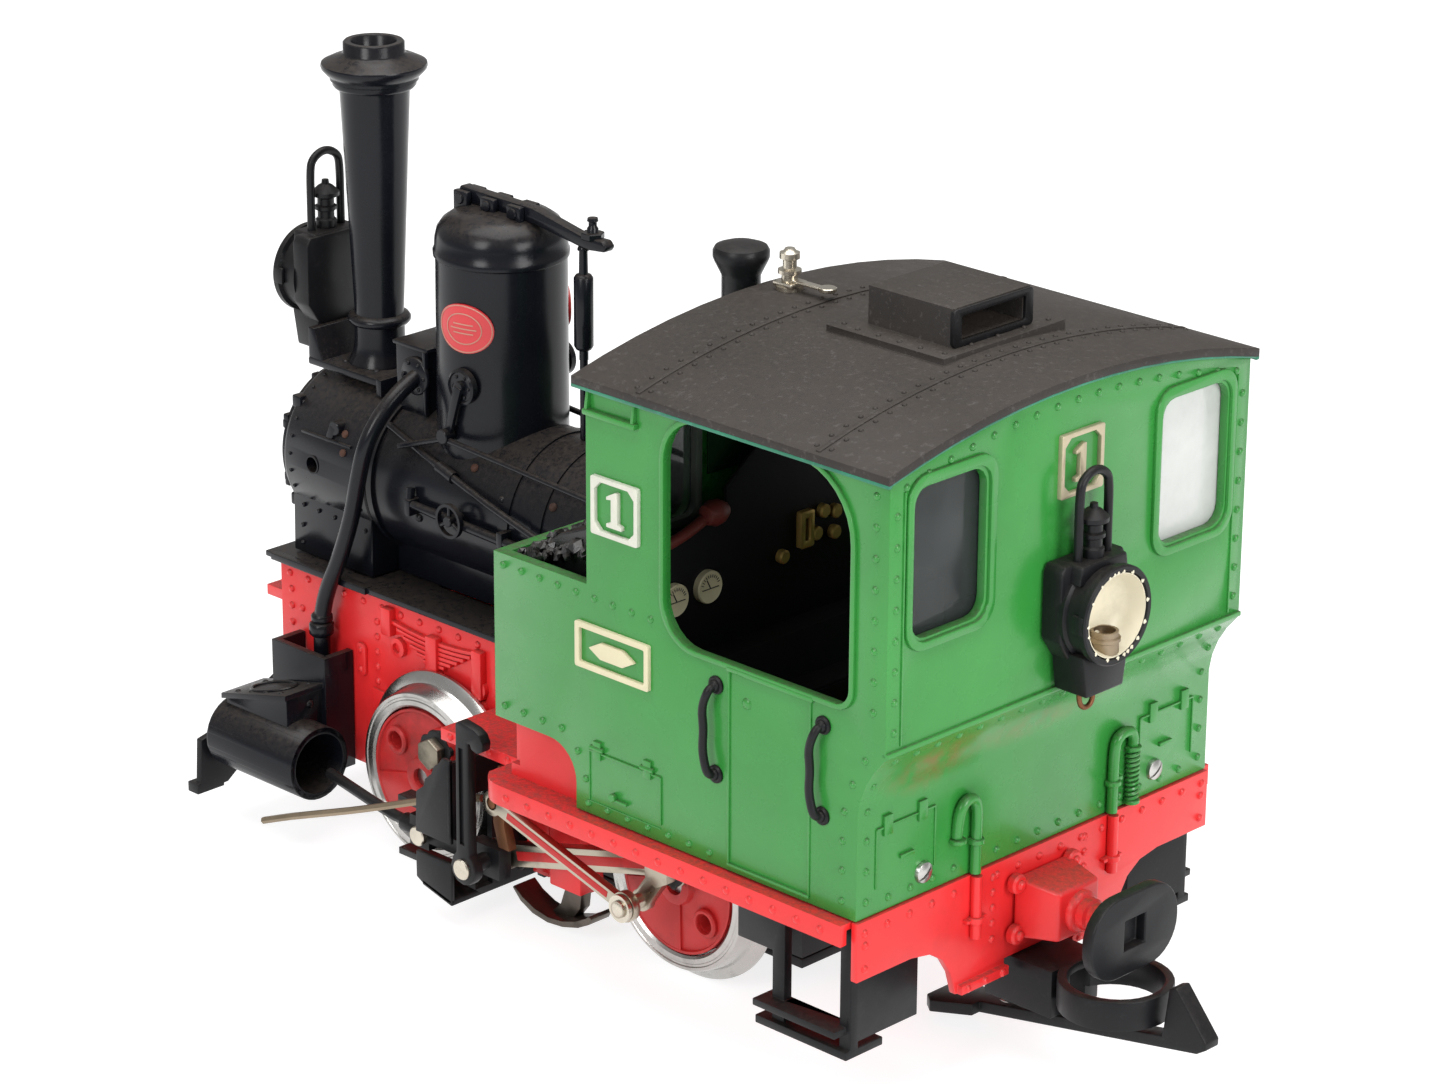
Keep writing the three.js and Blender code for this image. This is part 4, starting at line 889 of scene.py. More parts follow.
def build_inside():
    """Boiler backhead with its dials, gauge glass, taps and regulator lever, and dark green sheets of painted
    shade inside the front wall.
    """
    refinish("backhead", "dark_inside", 0.5)
    half = [(45.6, 20.4), (45.6, 50), (40, 53.4), (24, 55), (24, 60), (15, 67)]
    outline = [(-45.6, 20.4)] + half + [(-y, z) for y, z in reversed(half[1:])]
    panel = [sheet("x", 55.2, 56, outline, 0.3), block(44.2, 56, -45.4, 45.4, 19.2, 20.6, 0.3)]
    keep(joined(panel), "backhead_panel", ENGINE, "dark_inside")
    # Painted shade: near-black green sheets round the front windows stand for the shade inside the cab; they
    # are no real lining.
    wall = [block(62.4, 62.9, -21.4, 21.4, 60, 84, 0.1)]
    for side in (1, -1):
        wall.append(block(62.4, 62.9, *mirrored(side, 44, 45.9), 50, 82, 0.1))
        wall.append(block(62.4, 62.9, *mirrored(side, 21, 45.9), 48, 50.9, 0.1))
    keep(joined(wall), "front_wall_painted_shade", ENGINE, "green_painted_shade")
    for y, z, name in ((29.4, 42.5, "a"), (38.0, 42.2, "b")):
        build_dial(y, z, name)
    glass = [framed("x", 53.9, 55.4, rounded(2.0, 5.6, 43.4, 50.6, 0.4, 2),
                    rounded(3.2, 4.4, 44.8, 49.2, 0.3, 2), 0.2)]
    taps = [bar("x", 53.8, 55.6, y, z, 1.35, 20, 0.3)
            for y, z in ((-1, 49.3), (-4.2, 48.5), (1.0, 45.4), (-4.0, 44.4), (9.8, 43.1))]
    keep(joined(glass + taps), "gauge_glass_and_taps", ENGINE, "brass")
    lever = wire([(54, 42.4, 53.2), (53.6, 38, 54), (54.0, 33, 55.2), (54.6, 29, 56.2), (55.6, 28, 56.4)],
                 1.1)
    knob = turned([(0, 25.2), (1.4, 25.6), (2.3, 27.2), (2.5, 28.8), (1.8, 30.6), (0, 31.4)], "y",
                  (54, 0, 56.6), 24)
    keep(joined([lever, knob]), "regulator", ENGINE, "lever_red")


def build_dial(y, z, name):
    """Round pressure dial with ticks and a needle."""
    face = 53.9
    ink_x = face - 0.08
    case = turned([(0, 55.4), (3.1, 55.4), (3.1, 54.0), (2.9, 53.75), (2.7, face), (0, face)], "x",
                  (0, y, z), 48)
    keep(case, "dial_" + name, ENGINE, "cream")
    lines = [(circle(y, z, 1.9, a), circle(y, z, 2.45, a), 0.08)
             for a in [math.radians(20 + 14 * i) for i in range(11)]]
    lines.append(((y + 2.1, z - 0.2), (y - 2.1, z - 0.2), 0.10))
    lines.append(((y, z - 0.2), (y + 0.9, z + 1.5), 0.12))
    marks = [wire([(ink_x, *start), (ink_x, *end)], thick, smooth=False, ring=1)
             for start, end, thick in lines]
    keep(joined(marks), "dial_marks_" + name, ENGINE, "ink")


def build_coal():
    """Loose lumps heaped in the two side tanks."""
    seeded = random.Random(7)
    for side, word in SIDES:
        lumps = []
        heap_side = [(67.6, 36), (TANK_FRONT - 2.6, 36), (TANK_FRONT - 2.6, 42.4), (80, 49.4), (70, 53.6),
                     (67.6, 54)]
        bed = sheet("y", *mirrored(side, 22, 42), heap_side, 0.5)
        for _ in range(330):
            x = seeded.uniform(68.6, TANK_FRONT - 3.4)
            y = side * seeded.uniform(22.8, 45)
            heap = 43.6 + 12.0 * (1 - (x - 68.6) / 22) * (1 - 0.55 * max(0.0, (abs(y) - 34) / 12))
            clear()
            bpy.ops.mesh.primitive_ico_sphere_add(subdivisions=1, radius=seeded.uniform(0.9, 1.9) * MM,
                                                  location=at(x, y, heap - seeded.uniform(0, 1.6)))
            lump = bpy.context.object
            lump.scale = (seeded.uniform(0.6, 1.3), seeded.uniform(0.6, 1.3), seeded.uniform(0.5, 1.0))
            lump.rotation_euler = (seeded.uniform(0, 3), seeded.uniform(0, 3), seeded.uniform(0, 3))
            lumps.append(lump)
        keep(joined([bed] + lumps), "coal_" + word, ENGINE, "coal", smooth=10)


# ---- boiler, smokebox, dome and chimney ----
def build_chimney():
    """Tall flared chimney with its cap and bolted foot."""
    x, top = CHIMNEY.x, CHIMNEY_TOP
    profile = [(0, 50.3), (6.4, 50.3), (6.2, 50.9), (5.5, 52.2), (5.1, 54.4), (5.05, 58.2), (5.9, 58.5),
               (6.35, 59.1), (6.35, 59.7), (5.9, 60.3), (5.0, 60.6), (4.95, 61.2), (5.6, 76), (6.3, 92),
               (6.95, 106.2), (7.1, 106.8), (7.9, 107.1), (8.3, 107.6), (8.3, 108.3), (8.8, 108.6),
               (8.8, 109.2), (9.6, 109.9), (10.4, 110.8), (10.6, 111.4), (10.45, 111.9), (8.8, 112.7),
               (6.6, 113.5), (6.1, 114.0), (6.1, top - 0.3), (5.8, top), (4.7, top), (4.4, top - 0.3),
               (4.2, 104.4), (0, 104.2)]
    keep(turned(profile, "z", (x, 0, 0), 112), "chimney_shell", ENGINE, "black", ("chimney",), 45)
    foot = [studs([(x + 7.4 * math.cos(a), 6.6 * math.sin(a), 50.1)], UPWARD, 0.8, 0.5, 10)
            for a in (0.9, 2.24, 4.04, 5.38)]
    keep(joined(foot), "chimney_bolts", ENGINE, "black")


def build_dome():
    """Dome with the lever, posts and spring balance of its safety valve."""
    profile = [(0, 38), (DOME_R, 38), (DOME_R, 51), (12.9, 80.2), (13.3, 80.6), (13.35, 81.6), (13.05, 82.0),
               (12.95, 84.2), (12.5, 86.0), (11.5, 87.4), (9.9, 88.5), (7.6, 89.1), (4, 89.35), (0, 89.4)]
    shell = turned(profile, "z", (DOME_X, 0, 0), 112)
    keep(shell, "dome_shell", ENGINE, "black", ("steam_dome",), 40)
    lever = sheet("y", -1.3, 1.3, [(109.6, 88.2), (110.2, 87.2), (114.2, 86.8), (117, 87.0), (129.5, 88.8),
                                   (150.4, 89.4), (151, 91), (150, 92.4), (147, 92.2), (130, 91.9),
                                   (116, 89.2), (110.6, 89.3)], 0.35)
    stands = []
    for post_x in (133.6, 141, 148.6):
        stands += [block(post_x - 1.9, post_x + 1.9, y - 0.7, y + 0.7, 86.8, 91.8, 0.3) for y in (2.1, -2.1)]
        stands.append(bar("y", -3.2, 3.2, post_x, 90.3, 1.1, 20))
    nut = bar("z", 88.8, 90.2, 114.4, 0, 2.3, 6, 0.2)
    screw = turned([(0, 88), (1.1, 88), (1.1, 91), (0.8, 91.4), (0.8, 92.2), (1.1, 92.4), (1.0, 93),
                    (0, 93.2)], "z", (114.4, 0, 0), 24)
    keep(joined([lever, nut, screw] + stands), "safety_lever", ENGINE, "black")
    balance = turned([(0, 64.2), (0.9, 64.2), (0.9, 66), (1.5, 66.3), (1.9, 67), (1.9, 80.6), (1.5, 81.2),
                      (0.9, 81.4), (0.8, 87.4), (0, 87.4)], "z", (117, 0, 0), 32)
    ball = studs([(117, 0, 86.2)], UPWARD, 1.2, 1.1, 14)
    rod = bar("z", 48, 64.4, 117, 0, 0.8, 16)
    keep(joined([balance, ball, rod]), "spring_balance", ENGINE, "black")
    build_works_plates()
    build_regulator_drive()


def on_dome(angle, z, radius, side):
    """Place on the dome's side, by its turn from square-on towards the chimney."""
    return (DOME_X + radius * math.sin(angle), side * radius * math.cos(angle), z)


def dome_plate(side, steps=40):
    """A thin oval plate bent round the side of the dome."""
    outline = [(PLATE_HALF[0] * math.cos(a), PLATE_HALF[1] * math.sin(a)) for a in full_turn(steps)]
    plate = sheet("y", DOME_R - 0.8, DOME_R + 0.4, outline, 0)
    for cut in range(-8, 9):
        edit(plate)
        bpy.ops.mesh.bisect(plane_co=at(cut * 0.8, 0, 0), plane_no=(1, 0, 0))
        leave()
    for vertex in plate.data.vertices:
        local = (vertex.co - ORIGIN) / MM
        vertex.co = at(*on_dome(PLATE_TURN + local.x / DOME_R, local.z + PLATE_Z, local.y, side))
    edit(plate)
    bpy.ops.mesh.normals_make_consistent(inside=False)
    leave()
    return plate


def build_works_plates():
    """Blank oval plates on both sides of the dome: a red ground with a raised border and bars."""
    for side, word in SIDES:
        keep(dome_plate(side), "works_plate_" + word, ENGINE, "plate_red", (), 50)
        skin = DOME_R + 0.42
        border = []
        for scale in (0.95, 0.62):
            ring = [on_dome(PLATE_TURN + PLATE_HALF[0] * scale * math.cos(a) / DOME_R,
                            PLATE_Z + PLATE_HALF[1] * scale * math.sin(a), skin, side)
                    for a in full_turn(40)]
            border.append(wire(ring, 0.13, closed=True, ring=1))
        for dz, reach in ((0.9, 2.2), (0, 2.9), (-0.9, 2.2)):
            line = [on_dome(PLATE_TURN + (-reach + reach * i / 3) / DOME_R, PLATE_Z + dz, skin, side)
                    for i in range(7)]
            border.append(wire(line, 0.14, ring=1))
        keep(joined(border), "works_plate_border_" + word, ENGINE, "plate_edge")


def build_regulator_drive():
    """Bossed disc, hanging arm and long rod on each side of the dome."""
    x, z = DOME_X, 57
    for side, word in SIDES:
        y = side * 12.6
        disc = turned([(radius, y + side * out) for radius, out in (
            (0, 0), (3.6, 0), (3.6, 1.2), (3.1, 1.5), (2.9, 1.2), (1.3, 1.2), (1.2, 2.0), (0, 2.2))],
            "y", (x - 2.8, 0, z), 40)
        bolts = studs([(x - 2.8 + 2.2 * math.cos(a), y + side * 1.2, z + 2.2 * math.sin(a))
                       for a in full_turn(6)], (0, side, 0), 0.4, 0.35, 8)
        outline = [(x - 4.0, z), (x - 2.2, 57.6), (x + 1.4, 46.4), (x - 0.4, 45.8)]
        arm = sheet("y", *mirrored(side, 14.0, 15.0), outline, 0.25)
        pin = bar("y", *mirrored(side, 13.6, 16.2), x + 0.4, 46.6, 1.5, 20)
        rod = wire([(x + 14, side * 15.0, 41.2), (x + 0.4, side * 15.2, 46), (x - 20, side * 15.2, 44.8),
                    (x - 60, side * 15.4, 42.4)], 0.62, smooth=False)
        keep(joined([disc, bolts, arm, pin, rod]), "regulator_drive_" + word, ENGINE, "black")


def build_boiler():
    """Boiler barrel with its bands, turret and steam fountain."""
    low, high = span_of("boiler")
    r = high.y
    barrel = turned([(0, low.x), (r, low.x), (r, high.x), (0, high.x)], "x", (0, 0, BOILER_Z), 112)
    belly = block(low.x, 90, -14, 14, 14, BOILER_Z, 0.4)
    seat = block(94, high.x, -9, 9, 11.3, 22, 0.4)
    keep(joined([barrel, belly, seat]), "boiler_shell", ENGINE, "black", ("boiler",), 40)
    axle = (0, 0, BOILER_Z)
    bands = [hoop("x", axle, r - 0.5, r + 0.35, x - 1.3, x + 1.3, 96) for x in (113.5, 122.5)]
    joint_ring = hoop("x", axle, r - 0.5, r + 0.7, 160.2, high.x, 96)
    keep(joined(bands + [joint_ring]), "boiler_bands", ENGINE, "black", (), 40)
    turret = turned([(0, 44), (3.65, 44), (3.65, 90.4), (4.0, 91.2), (5.0, 93.2), (5.3, 94.0), (5.3, 95.2),
                     (4.9, 95.9), (3.2, 96.5), (0, 96.8)], "z", (75.2, 0, 0), 56)
    keep(turret, "boiler_turret", ENGINE, "black_plain")
    box = block(152.8, 162.0, -8.3, 8.3, 44, 59.7, 0.5)
    lid = block(152.2, 162.4, -8.8, 8.8, 59.0, 59.9, 0.3)
    fins = [block(152.4, 153.2, side * 8.6 - 0.6, side * 8.6 + 0.6, 46, 59.4, 0.2) for side, _ in SIDES]
    keep(joined([box, lid] + fins), "steam_fountain", ENGINE, "black")
    for side, word in SIDES:
        build_boiler_side(side, word, r)


def build_boiler_side(side, word, r):
    """Feed pipe with its handwheel, washout plugs, slide bar and clips on one side of the boiler."""
    def skin(z, out=0.0):
        return barrel_y(side, r + out, z)

    feed = wire([(148, skin(31, 1.0), 34.6), (147.6, skin(31, 1.6), 31.6), (140, skin(31, 1.6), 31.2),
                 (118, skin(31, 1.6), 30.4), (96, skin(31, 1.6), 29.6)], 1.0, smooth=False)
    y = side * (r + 3.0)
    hub_x, hub_z = 134.6, 31.6
    wheel = hoop("y", (hub_x, 0, hub_z), 2.9, 3.5, y - 0.5, y + 0.5, 40)
    spokes = []
    for turn in (90, 210, 330):
        rim_x, rim_z = circle(hub_x, hub_z, 3.2, math.radians(turn))
        spokes.append(wire([(hub_x, y, hub_z), (rim_x, y, rim_z)], 0.42, smooth=False))
    hub = bar("y", *sorted((side * (r - 0.6), y + side * 0.8)), hub_x, hub_z, 1.1, 20)
    clips = [block(x - 0.8, x + 0.8, *mirrored(side, r - 1, r + 2.7), 29.2, 32.6, 0.3)
             for x in (147.4, 121, 104)]
    plugs = [studs([(x, skin(z), z)], (0, skin(z), z - BOILER_Z), 0.9, 0.7, 10)
             for x, z in ((147, 28.2), (124, 37.6), (108, 24.4))]
    keep(joined([feed, wheel, hub] + spokes + clips + plugs), "boiler_feed_" + word, ENGINE, "black")
    slant = wire([(159.6, skin(43, 0.4), 43.4), (140, skin(39.5, 1.4), 39.8),
                  (126, skin(37, 1.9), 36.8), (108, skin(33, 2.2), 33)], 0.75, smooth=False)
    socket = wire([(141.5, skin(40, 1.4), 40.1), (136.8, skin(39.4, 1.5), 39)], 1.25, smooth=False)
    keep(joined([slant, socket]), "sand_rod_" + word, ENGINE, "black")
    rusty = [studs([(x, skin(z, 0.1), z)], (0, skin(z), z - BOILER_Z), 0.9, 0.6, 12)
             for x, z in ((133.8, 41.2), (110.6, 39.4))]
    keep(joined(rusty), "boiler_plugs_" + word, ENGINE, "rust")


def build_smokebox():
    """Open drum on its saddle, with a shelf for the lamp on top."""
    low, _ = span_of("smokebox")
    r = SMOKEBOX_R
    drum = turned([(0, low.x), (r - 0.3, low.x), (r, low.x + 0.3), (r, 185.6), (r - 0.5, 186.6), (r - 1.5, 187),
                   (r - 1.8, 186.6), (r - 1.8, 165), (0, 165)], "x", (0, 0, BOILER_Z), 112)
    saddle = sheet("x", low.x, 185.8, [(-15.6, 11.3), (15.6, 11.3), (15.4, 24), (15.8, 27), (-15.8, 27),
                                       (-15.4, 24)], 0.3)
    carve(saddle, bar("x", 160, 190, 0, BOILER_Z, r - 0.8, 64, 0))
    shell = joined([drum, saddle])
    for side in (1, -1):
        carve(shell, bar("y", *mirrored(side, 11, 20), 177.5, 31.9, 1.6, 28, 0))
    keep(shell, "smokebox_shell", ENGINE, "black", ("smokebox",), 40)
    shelf = block(166.2, 188.3, -8.6, 8.6, 48.6, 50.2, 0.4)
    lip = block(165.8, 167.4, -9.0, 9.0, 46.8, 50.4, 0.3)
    lamp_seat = sheet("y", -8.4, 8.4, [(183, 49), (188.3, 49), (188.3, 56.4), (186.6, 56.4), (184, 50)], 0.3)
    keep(joined([shelf, lip, lamp_seat]), "smokebox_shelf", ENGINE, "black")
    for side, word in SIDES:
        build_smokebox_side(side, word)


def build_smokebox_side(side, word):
    """Rivets, inspection hatch, peephole rim, rusty bolts and hinge lugs on one side."""
    r = SMOKEBOX_R

    def skin(z, out=0.0):
        return barrel_y(side, r + out, z)

    def standing(z, sunk, proud):
        return sorted((skin(z) - side * sunk, skin(z) + side * proud))

    spots, ways = [], []
    for i in range(11):
        a = math.radians(-44 + 12 * i)
        for x in (184.4, 164.2):
            spots.append((x, side * r * math.cos(a), BOILER_Z + r * math.sin(a)))
            ways.append((0, side * math.cos(a), math.sin(a)))
    keep(studs(spots, ways, 0.42, 0.32, 8), "smokebox_rivets_" + word, ENGINE, "black")
    seat = [(x, side * 15.55, z) for x, z in ((182.6, 21.6), (178, 21.4), (173.2, 21.2), (168.4, 21),
                                              (163.9, 20.8), (183, 17.2), (183, 13.4))]
    keep(studs(seat, (0, side, 0), 0.5, 0.4, 8), "saddle_rivets_" + word, ENGINE, "black")
    blade = [(171.2, 40.6), (173.2, 41.4), (176.6, 33.6), (175.6, 33.2)]
    hatch = [block(166.8, 181.6, *standing(37.9, 0.6, 0.5), 37.6, 38.2, 0.15),
             sheet("y", *standing(40, 0.8, 1.2), blade, 0.3),
             bar("y", *standing(41, 1, 1.8), 172, 40.6, 1.5, 20)]
    pit = hoop("y", (177.5, 0, 31.9), 1.6, 1.9, side * 16.5, skin(31.4) + side * 0.15, 28)
    keep(joined(hatch + [pit]), "smokebox_hatch_" + word, ENGINE, "black")
    rusty = [(169.6, skin(39.8, 0.1), 39.8), (168.8, skin(36.4, 0.1), 36.4)]
    keep(studs(rusty, (0, side, 0.5), 0.85, 0.5, 10), "smokebox_bolts_" + word, ENGINE, "rust")
    lugs = [block(184.6, 187.2, *standing(z, 2, 0.6), z - 1.3, z + 1.3, 0.4) for z in (42.4, 21.8)]
    keep(joined(lugs), "hinge_lugs_" + word, ENGINE, "black")


def build_door():
    """Dished smokebox door with its rim, straps and handwheel."""
    body = body_of("smokebox_door")
    front = span_of("smokebox")[1].x - 0.4
    bulge = ((0, -0.5), (15.6, -0.5), (15.8, 0), (15.6, 0.8), (14.6, 1.0), (14.2, 0.7), (12, 1.4),
             (8.5, 2.3), (4.5, 2.9), (0, 3.1))
    dish = turned([(radius, front + ahead) for radius, ahead in bulge], "x", (0, 0, BOILER_Z), 96)
    straps = [block(front + 0.2, front + 1.8, -9, 14.4, BOILER_Z + dz - 1.1, BOILER_Z + dz + 1.1, 0.4)
              for dz in (6.6, -6.6)]
    hub = bar("x", front + 2.4, front + 5.2, 0, BOILER_Z, 1.2, 24)
    handles = [wire([(front + 4.4, 0, BOILER_Z), (front + 4.4, *circle(0, BOILER_Z, 4.6, a))], 0.55,
                    smooth=False) for a in (0.4, 3.6)]
    dogs = []
    for a in full_turn(8):
        y, z = circle(0, BOILER_Z, 14.6, a + 0.39)
        dogs.append(block(front + 0.3, front + 1.9, y - 1, y + 1, z - 1, z + 1, 0.4))
    keep(joined([dish, hub] + straps + handles + dogs), "smokebox_door_shell", body, "black",
         ("smokebox_door",), 40)


def build_steam_pipes():
    """Steam pipe, flange and collars down to each cylinder."""
    for side, word in SIDES:
        y = 21.8 * side
        route = [(155.4, 8.8 * side, 53.6), (155.6, 12.6 * side, 52), (156.2, 18 * side, 47.4),
                 (157.2, 21 * side, 42), (158.6, y, 35), (160.6, y, 26.6), (164.6, y, 16.6),
                 (168.4, y, 9.6), (170.4, y, 3.6), (170.8, y, -2), (170.8, y, -7.9)]
        pipe = wire(route, 1.7, ring=5)
        collars = [bar("z", -1.6, 1.4, 170.8, y, 2.5, 32, 0.5), bar("z", 1.2, 3.4, 170.6, y, 2.2, 32, 0.6)]
        flange = bar("y", *mirrored(side, 8.2, 9.4), 155.6, 53.8, 3.9, 40, 0.3)
        bolts = studs([(155.6 + 2.9 * math.cos(a), 9.4 * side, 53.8 + 2.9 * math.sin(a))
                       for a in full_turn(6)], (0, side, 0), 0.45, 0.4, 8)
        keep(joined([pipe, flange, bolts] + collars), "steam_pipe_shell_" + word, ENGINE, "black",
             ("steam_pipe_" + word,), 50)


# ---- lamps ----
def build_lamp(node, back_x, foot_z, way):
    """Oil-lamp pattern electric lamp: boxy house, round body, reflector bowl, foot, stack and bail."""
    centre = foot_z + 15

    def place(offset):
        return back_x + offset * way

    def across(near, far, outline, edge=0.3):
        return sheet("x", *sorted((place(near), place(far))), outline, edge)

    def lifted(profile):
        return [(u, centre + v) for u, v in profile]

    def laid(profile):
        return [(radius, place(offset)) for radius, offset in profile]

    house = across(0, 4.6, lifted([(-8.6, -4.5), (-5.2, -9.4), (5.2, -9.4), (8.6, -4.5), (8.6, 7.8), (7.8, 9.4),
                                   (-7.8, 9.4), (-8.6, 7.8)]), 0.5)
    foot = across(0.4, 8.0, [(-5, foot_z), (5, foot_z), (6.2, centre - 7), (-6.2, centre - 7)], 0.5)
    top = across(0.6, 7.0, lifted([(-6.6, 6), (6.6, 6), (6.0, 9.6), (-6.0, 9.6)]), 0.5)
    drum = turned(laid([(0, 4), (9.0, 4), (9.0, 5.2), (8.4, 5.6), (8.4, 8.4), (9.2, 8.8), (9.2, 10.1),
                        (8.9, 10.4), (8.1, 10.4), (7.9, 10.0), (7.8, 4.6), (0, 4.6)]), "x",
                  (0, 0, centre), 72)
    fins = [block(*sorted((place(7.4), place(10))), *mirrored(side, 8.4, 9.2), centre - 1.6, centre + 1.8, 0.3)
            for side, _ in SIDES]
    stem_x = place(4)
    stack = turned(lifted([(0, 8), (2.1, 8), (2.1, 11.2), (1.7, 11.6), (1.7, 13), (2.2, 13.3), (2.2, 14.0),
                           (1.7, 14.3), (1.7, 15.6), (2.8, 16.2), (2.8, 17.0), (1.5, 18.2), (0.8, 18.6),
                           (0.7, 19.4), (0, 19.6)]), "z", (stem_x, 0, 0), 32)
    top_z = centre + 21.6
    bail = wire([(stem_x, y, z) for y, z in (
        (-3.9, centre + 8.4), (-3.9, centre + 15), (-3.9, top_z), (-3.4, top_z + 2.6), (0, top_z + 4.2),
        (3.4, top_z + 2.6), (3.9, top_z), (3.9, centre + 15), (3.9, centre + 8.4))], 0.85, ring=4)
    keep(joined([house, foot, top, drum, stack, bail] + fins), node + "_shell", ENGINE, "black_plain",
         (node,), 40)
    bowl = turned(laid([(0, 4.7), (3, 4.75), (5.6, 5.4), (7.0, 7.0), (7.75, 10.1), (7.6, 10.1), (6.8, 7.2),
                        (5.4, 5.8), (3, 5.1), (0, 5.0)]), "x", (0, 0, centre), 72)
    keep(bowl, node + "_reflector", ENGINE, "reflector", (), 50)
    cup = turned(lifted([(0, -7.4), (2.6, -7.4), (2.6, -5.4), (2.9, -5.2), (2.9, -4.6), (2.5, -4.4),
                         (2.5, -3.4), (2.0, -3.4), (2.0, -4.6), (0, -4.6)]), "z", (place(7.4), 0, 0), 32)
    keep(cup, node + "_bulb_socket", ENGINE, "bronze")
    chips = [math.tau * (i + 0.9 * math.sin(i * 7)) / 19 for i in range(19)]
    crumbs = studs([(place(10.3), *circle(0, centre, 8.15, a)) for a in chips], (way, 0, 0), 0.5, 0.12, 7)
    keep(crumbs, node + "_rim_wear", ENGINE, "reflector")


def build_lamps():
    """The two lamps, and the wire loop under the rear one."""
    rear_low, rear_high = span_of("rear_lamp")
    build_lamp("rear_lamp", rear_high.x, rear_low.z, -1)
    front_low, _ = span_of("front_lamp")
    build_lamp("front_lamp", front_low.x, front_low.z, 1)
    loop = wire([(-10.4, 2.2, 33.4), (-10.6, 2.6, 30.8), (-10.8, 0.6, 29.4), (-10.8, -1.4, 30.8),
                 (-10.6, -1.2, 33.4)], 0.5)
    keep(loop, "lamp_wire_loop", ENGINE, "copper")


# ---- frame, footplate and beam ----
def build_underframe():
    """Footplate, frame and running plate with their rivets and plates."""
    refinish("footplate", "red", 0.3)
    refinish("main_frame", "red", 0.25)
    refinish("running_plate", "black", 0.2)
    for side, word in SIDES:
        sill = side * SILL_HALF
        places = row((86, sill, -2.4), (6, sill, -2.4), 15)
        keep(studs(places, (0, side, 0), 0.8, 0.5), "sill_rivets_" + word, ENGINE, "red")
        step = side * 37.6
        places = row((115.4, step, -2.7), (94, step, -2.7), 5)
        keep(studs(places, (0, side, 0), 0.8, 0.5), "step_rivets_" + word, ENGINE, "red")
        frame_y = side * FRAME_HALF
        top = row((184, frame_y, 7.4), (100, frame_y, 7.4), 16)
        front = [(183.6, frame_y, z) for z in (4, 0.4, -3.2, -6.6)] + [(180.4, frame_y, 0.6)]
        mid = [(157.6, frame_y, z) for z in (4, 0.8, -2.4, -5.6, -8.8, -12)]
        low = [(146, frame_y, -3.6), (151.6, frame_y, -14.6), (153.6, frame_y, -18)]
        keep(studs(top + front + mid + low, (0, side, 0), 0.8, 0.55), "frame_rivets_" + word, ENGINE, "red")
        build_leaf_spring(side, word)
        plates = [sheet("y", *sorted((frame_y, frame_y + side * proud)), outline, 0.2)
                  for proud, outline in (
                      (0.8, rounded(160.6, 163.4, -8.6, -1.6, 1.2, 4)),
                      (0.7, [(153.6, -10.6), (158.8, -10.2), (158.4, -17), (154.4, -17)]))]
        bolts = [(162, frame_y + side * 0.7, z) for z in (-3, -7.2)]
        plates.append(studs(bolts, (0, side, 0), 0.7, 0.5, 10))
        keep(joined(plates), "frame_plates_" + word, ENGINE, "red")
        edge = block(159, 187.8, *mirrored(side, 18.3, 20.4), 9.7, 11.2, 0.25)
        keep(edge, "running_edge_" + word, ENGINE, "black")


def build_leaf_spring(side, word):
    """Leaf spring, buckle and hangers standing in relief on the frame."""
    y0, y1 = mirrored(side, 18.3, 19.6)
    leaves = []
    for i in range(6):
        reach = 12.6 - i * 1.9
        z = 4.6 - i * 0.95
        arc = [(140 + u, z + 0.45 + 1.3 * (u / 13) ** 2 * 0.9)
               for u in [-reach + reach * 2 * k / 8 for k in range(9)]]
        under = [(u, v - 0.75) for u, v in reversed(arc)]
        leaves.append(sheet("y", y0, y1, arc + under, 0.1))
    buckle = block(138.4, 141.6, *mirrored(side, 18.3, 20.3), -1.4, 6, 0.3)
    hangers = [block(x - 1.4, x + 1.4, *mirrored(side, 18.3, 20.2), z0, z1, 0.3)
               for x, z0, z1 in ((153.4, 2.6, 8.4), (127, -3.4, 6.6), (139.4, -5, -1))]
    coil = [(radius, y * side) for radius, y in ((0, 18.4), (2.0, 18.4), (2.0, 19.6), (1.1, 19.8),
                                                 (1.0, 19.0), (0, 19.0))]
    coils = [turned(coil, "y", (x, 0, z), 24) for x, z in ((150.6, 0.6), (127, -5.6), (127, -1.4))]
    keep(joined(leaves + [buckle] + hangers + coils), "leaf_spring_" + word, ENGINE, "red")


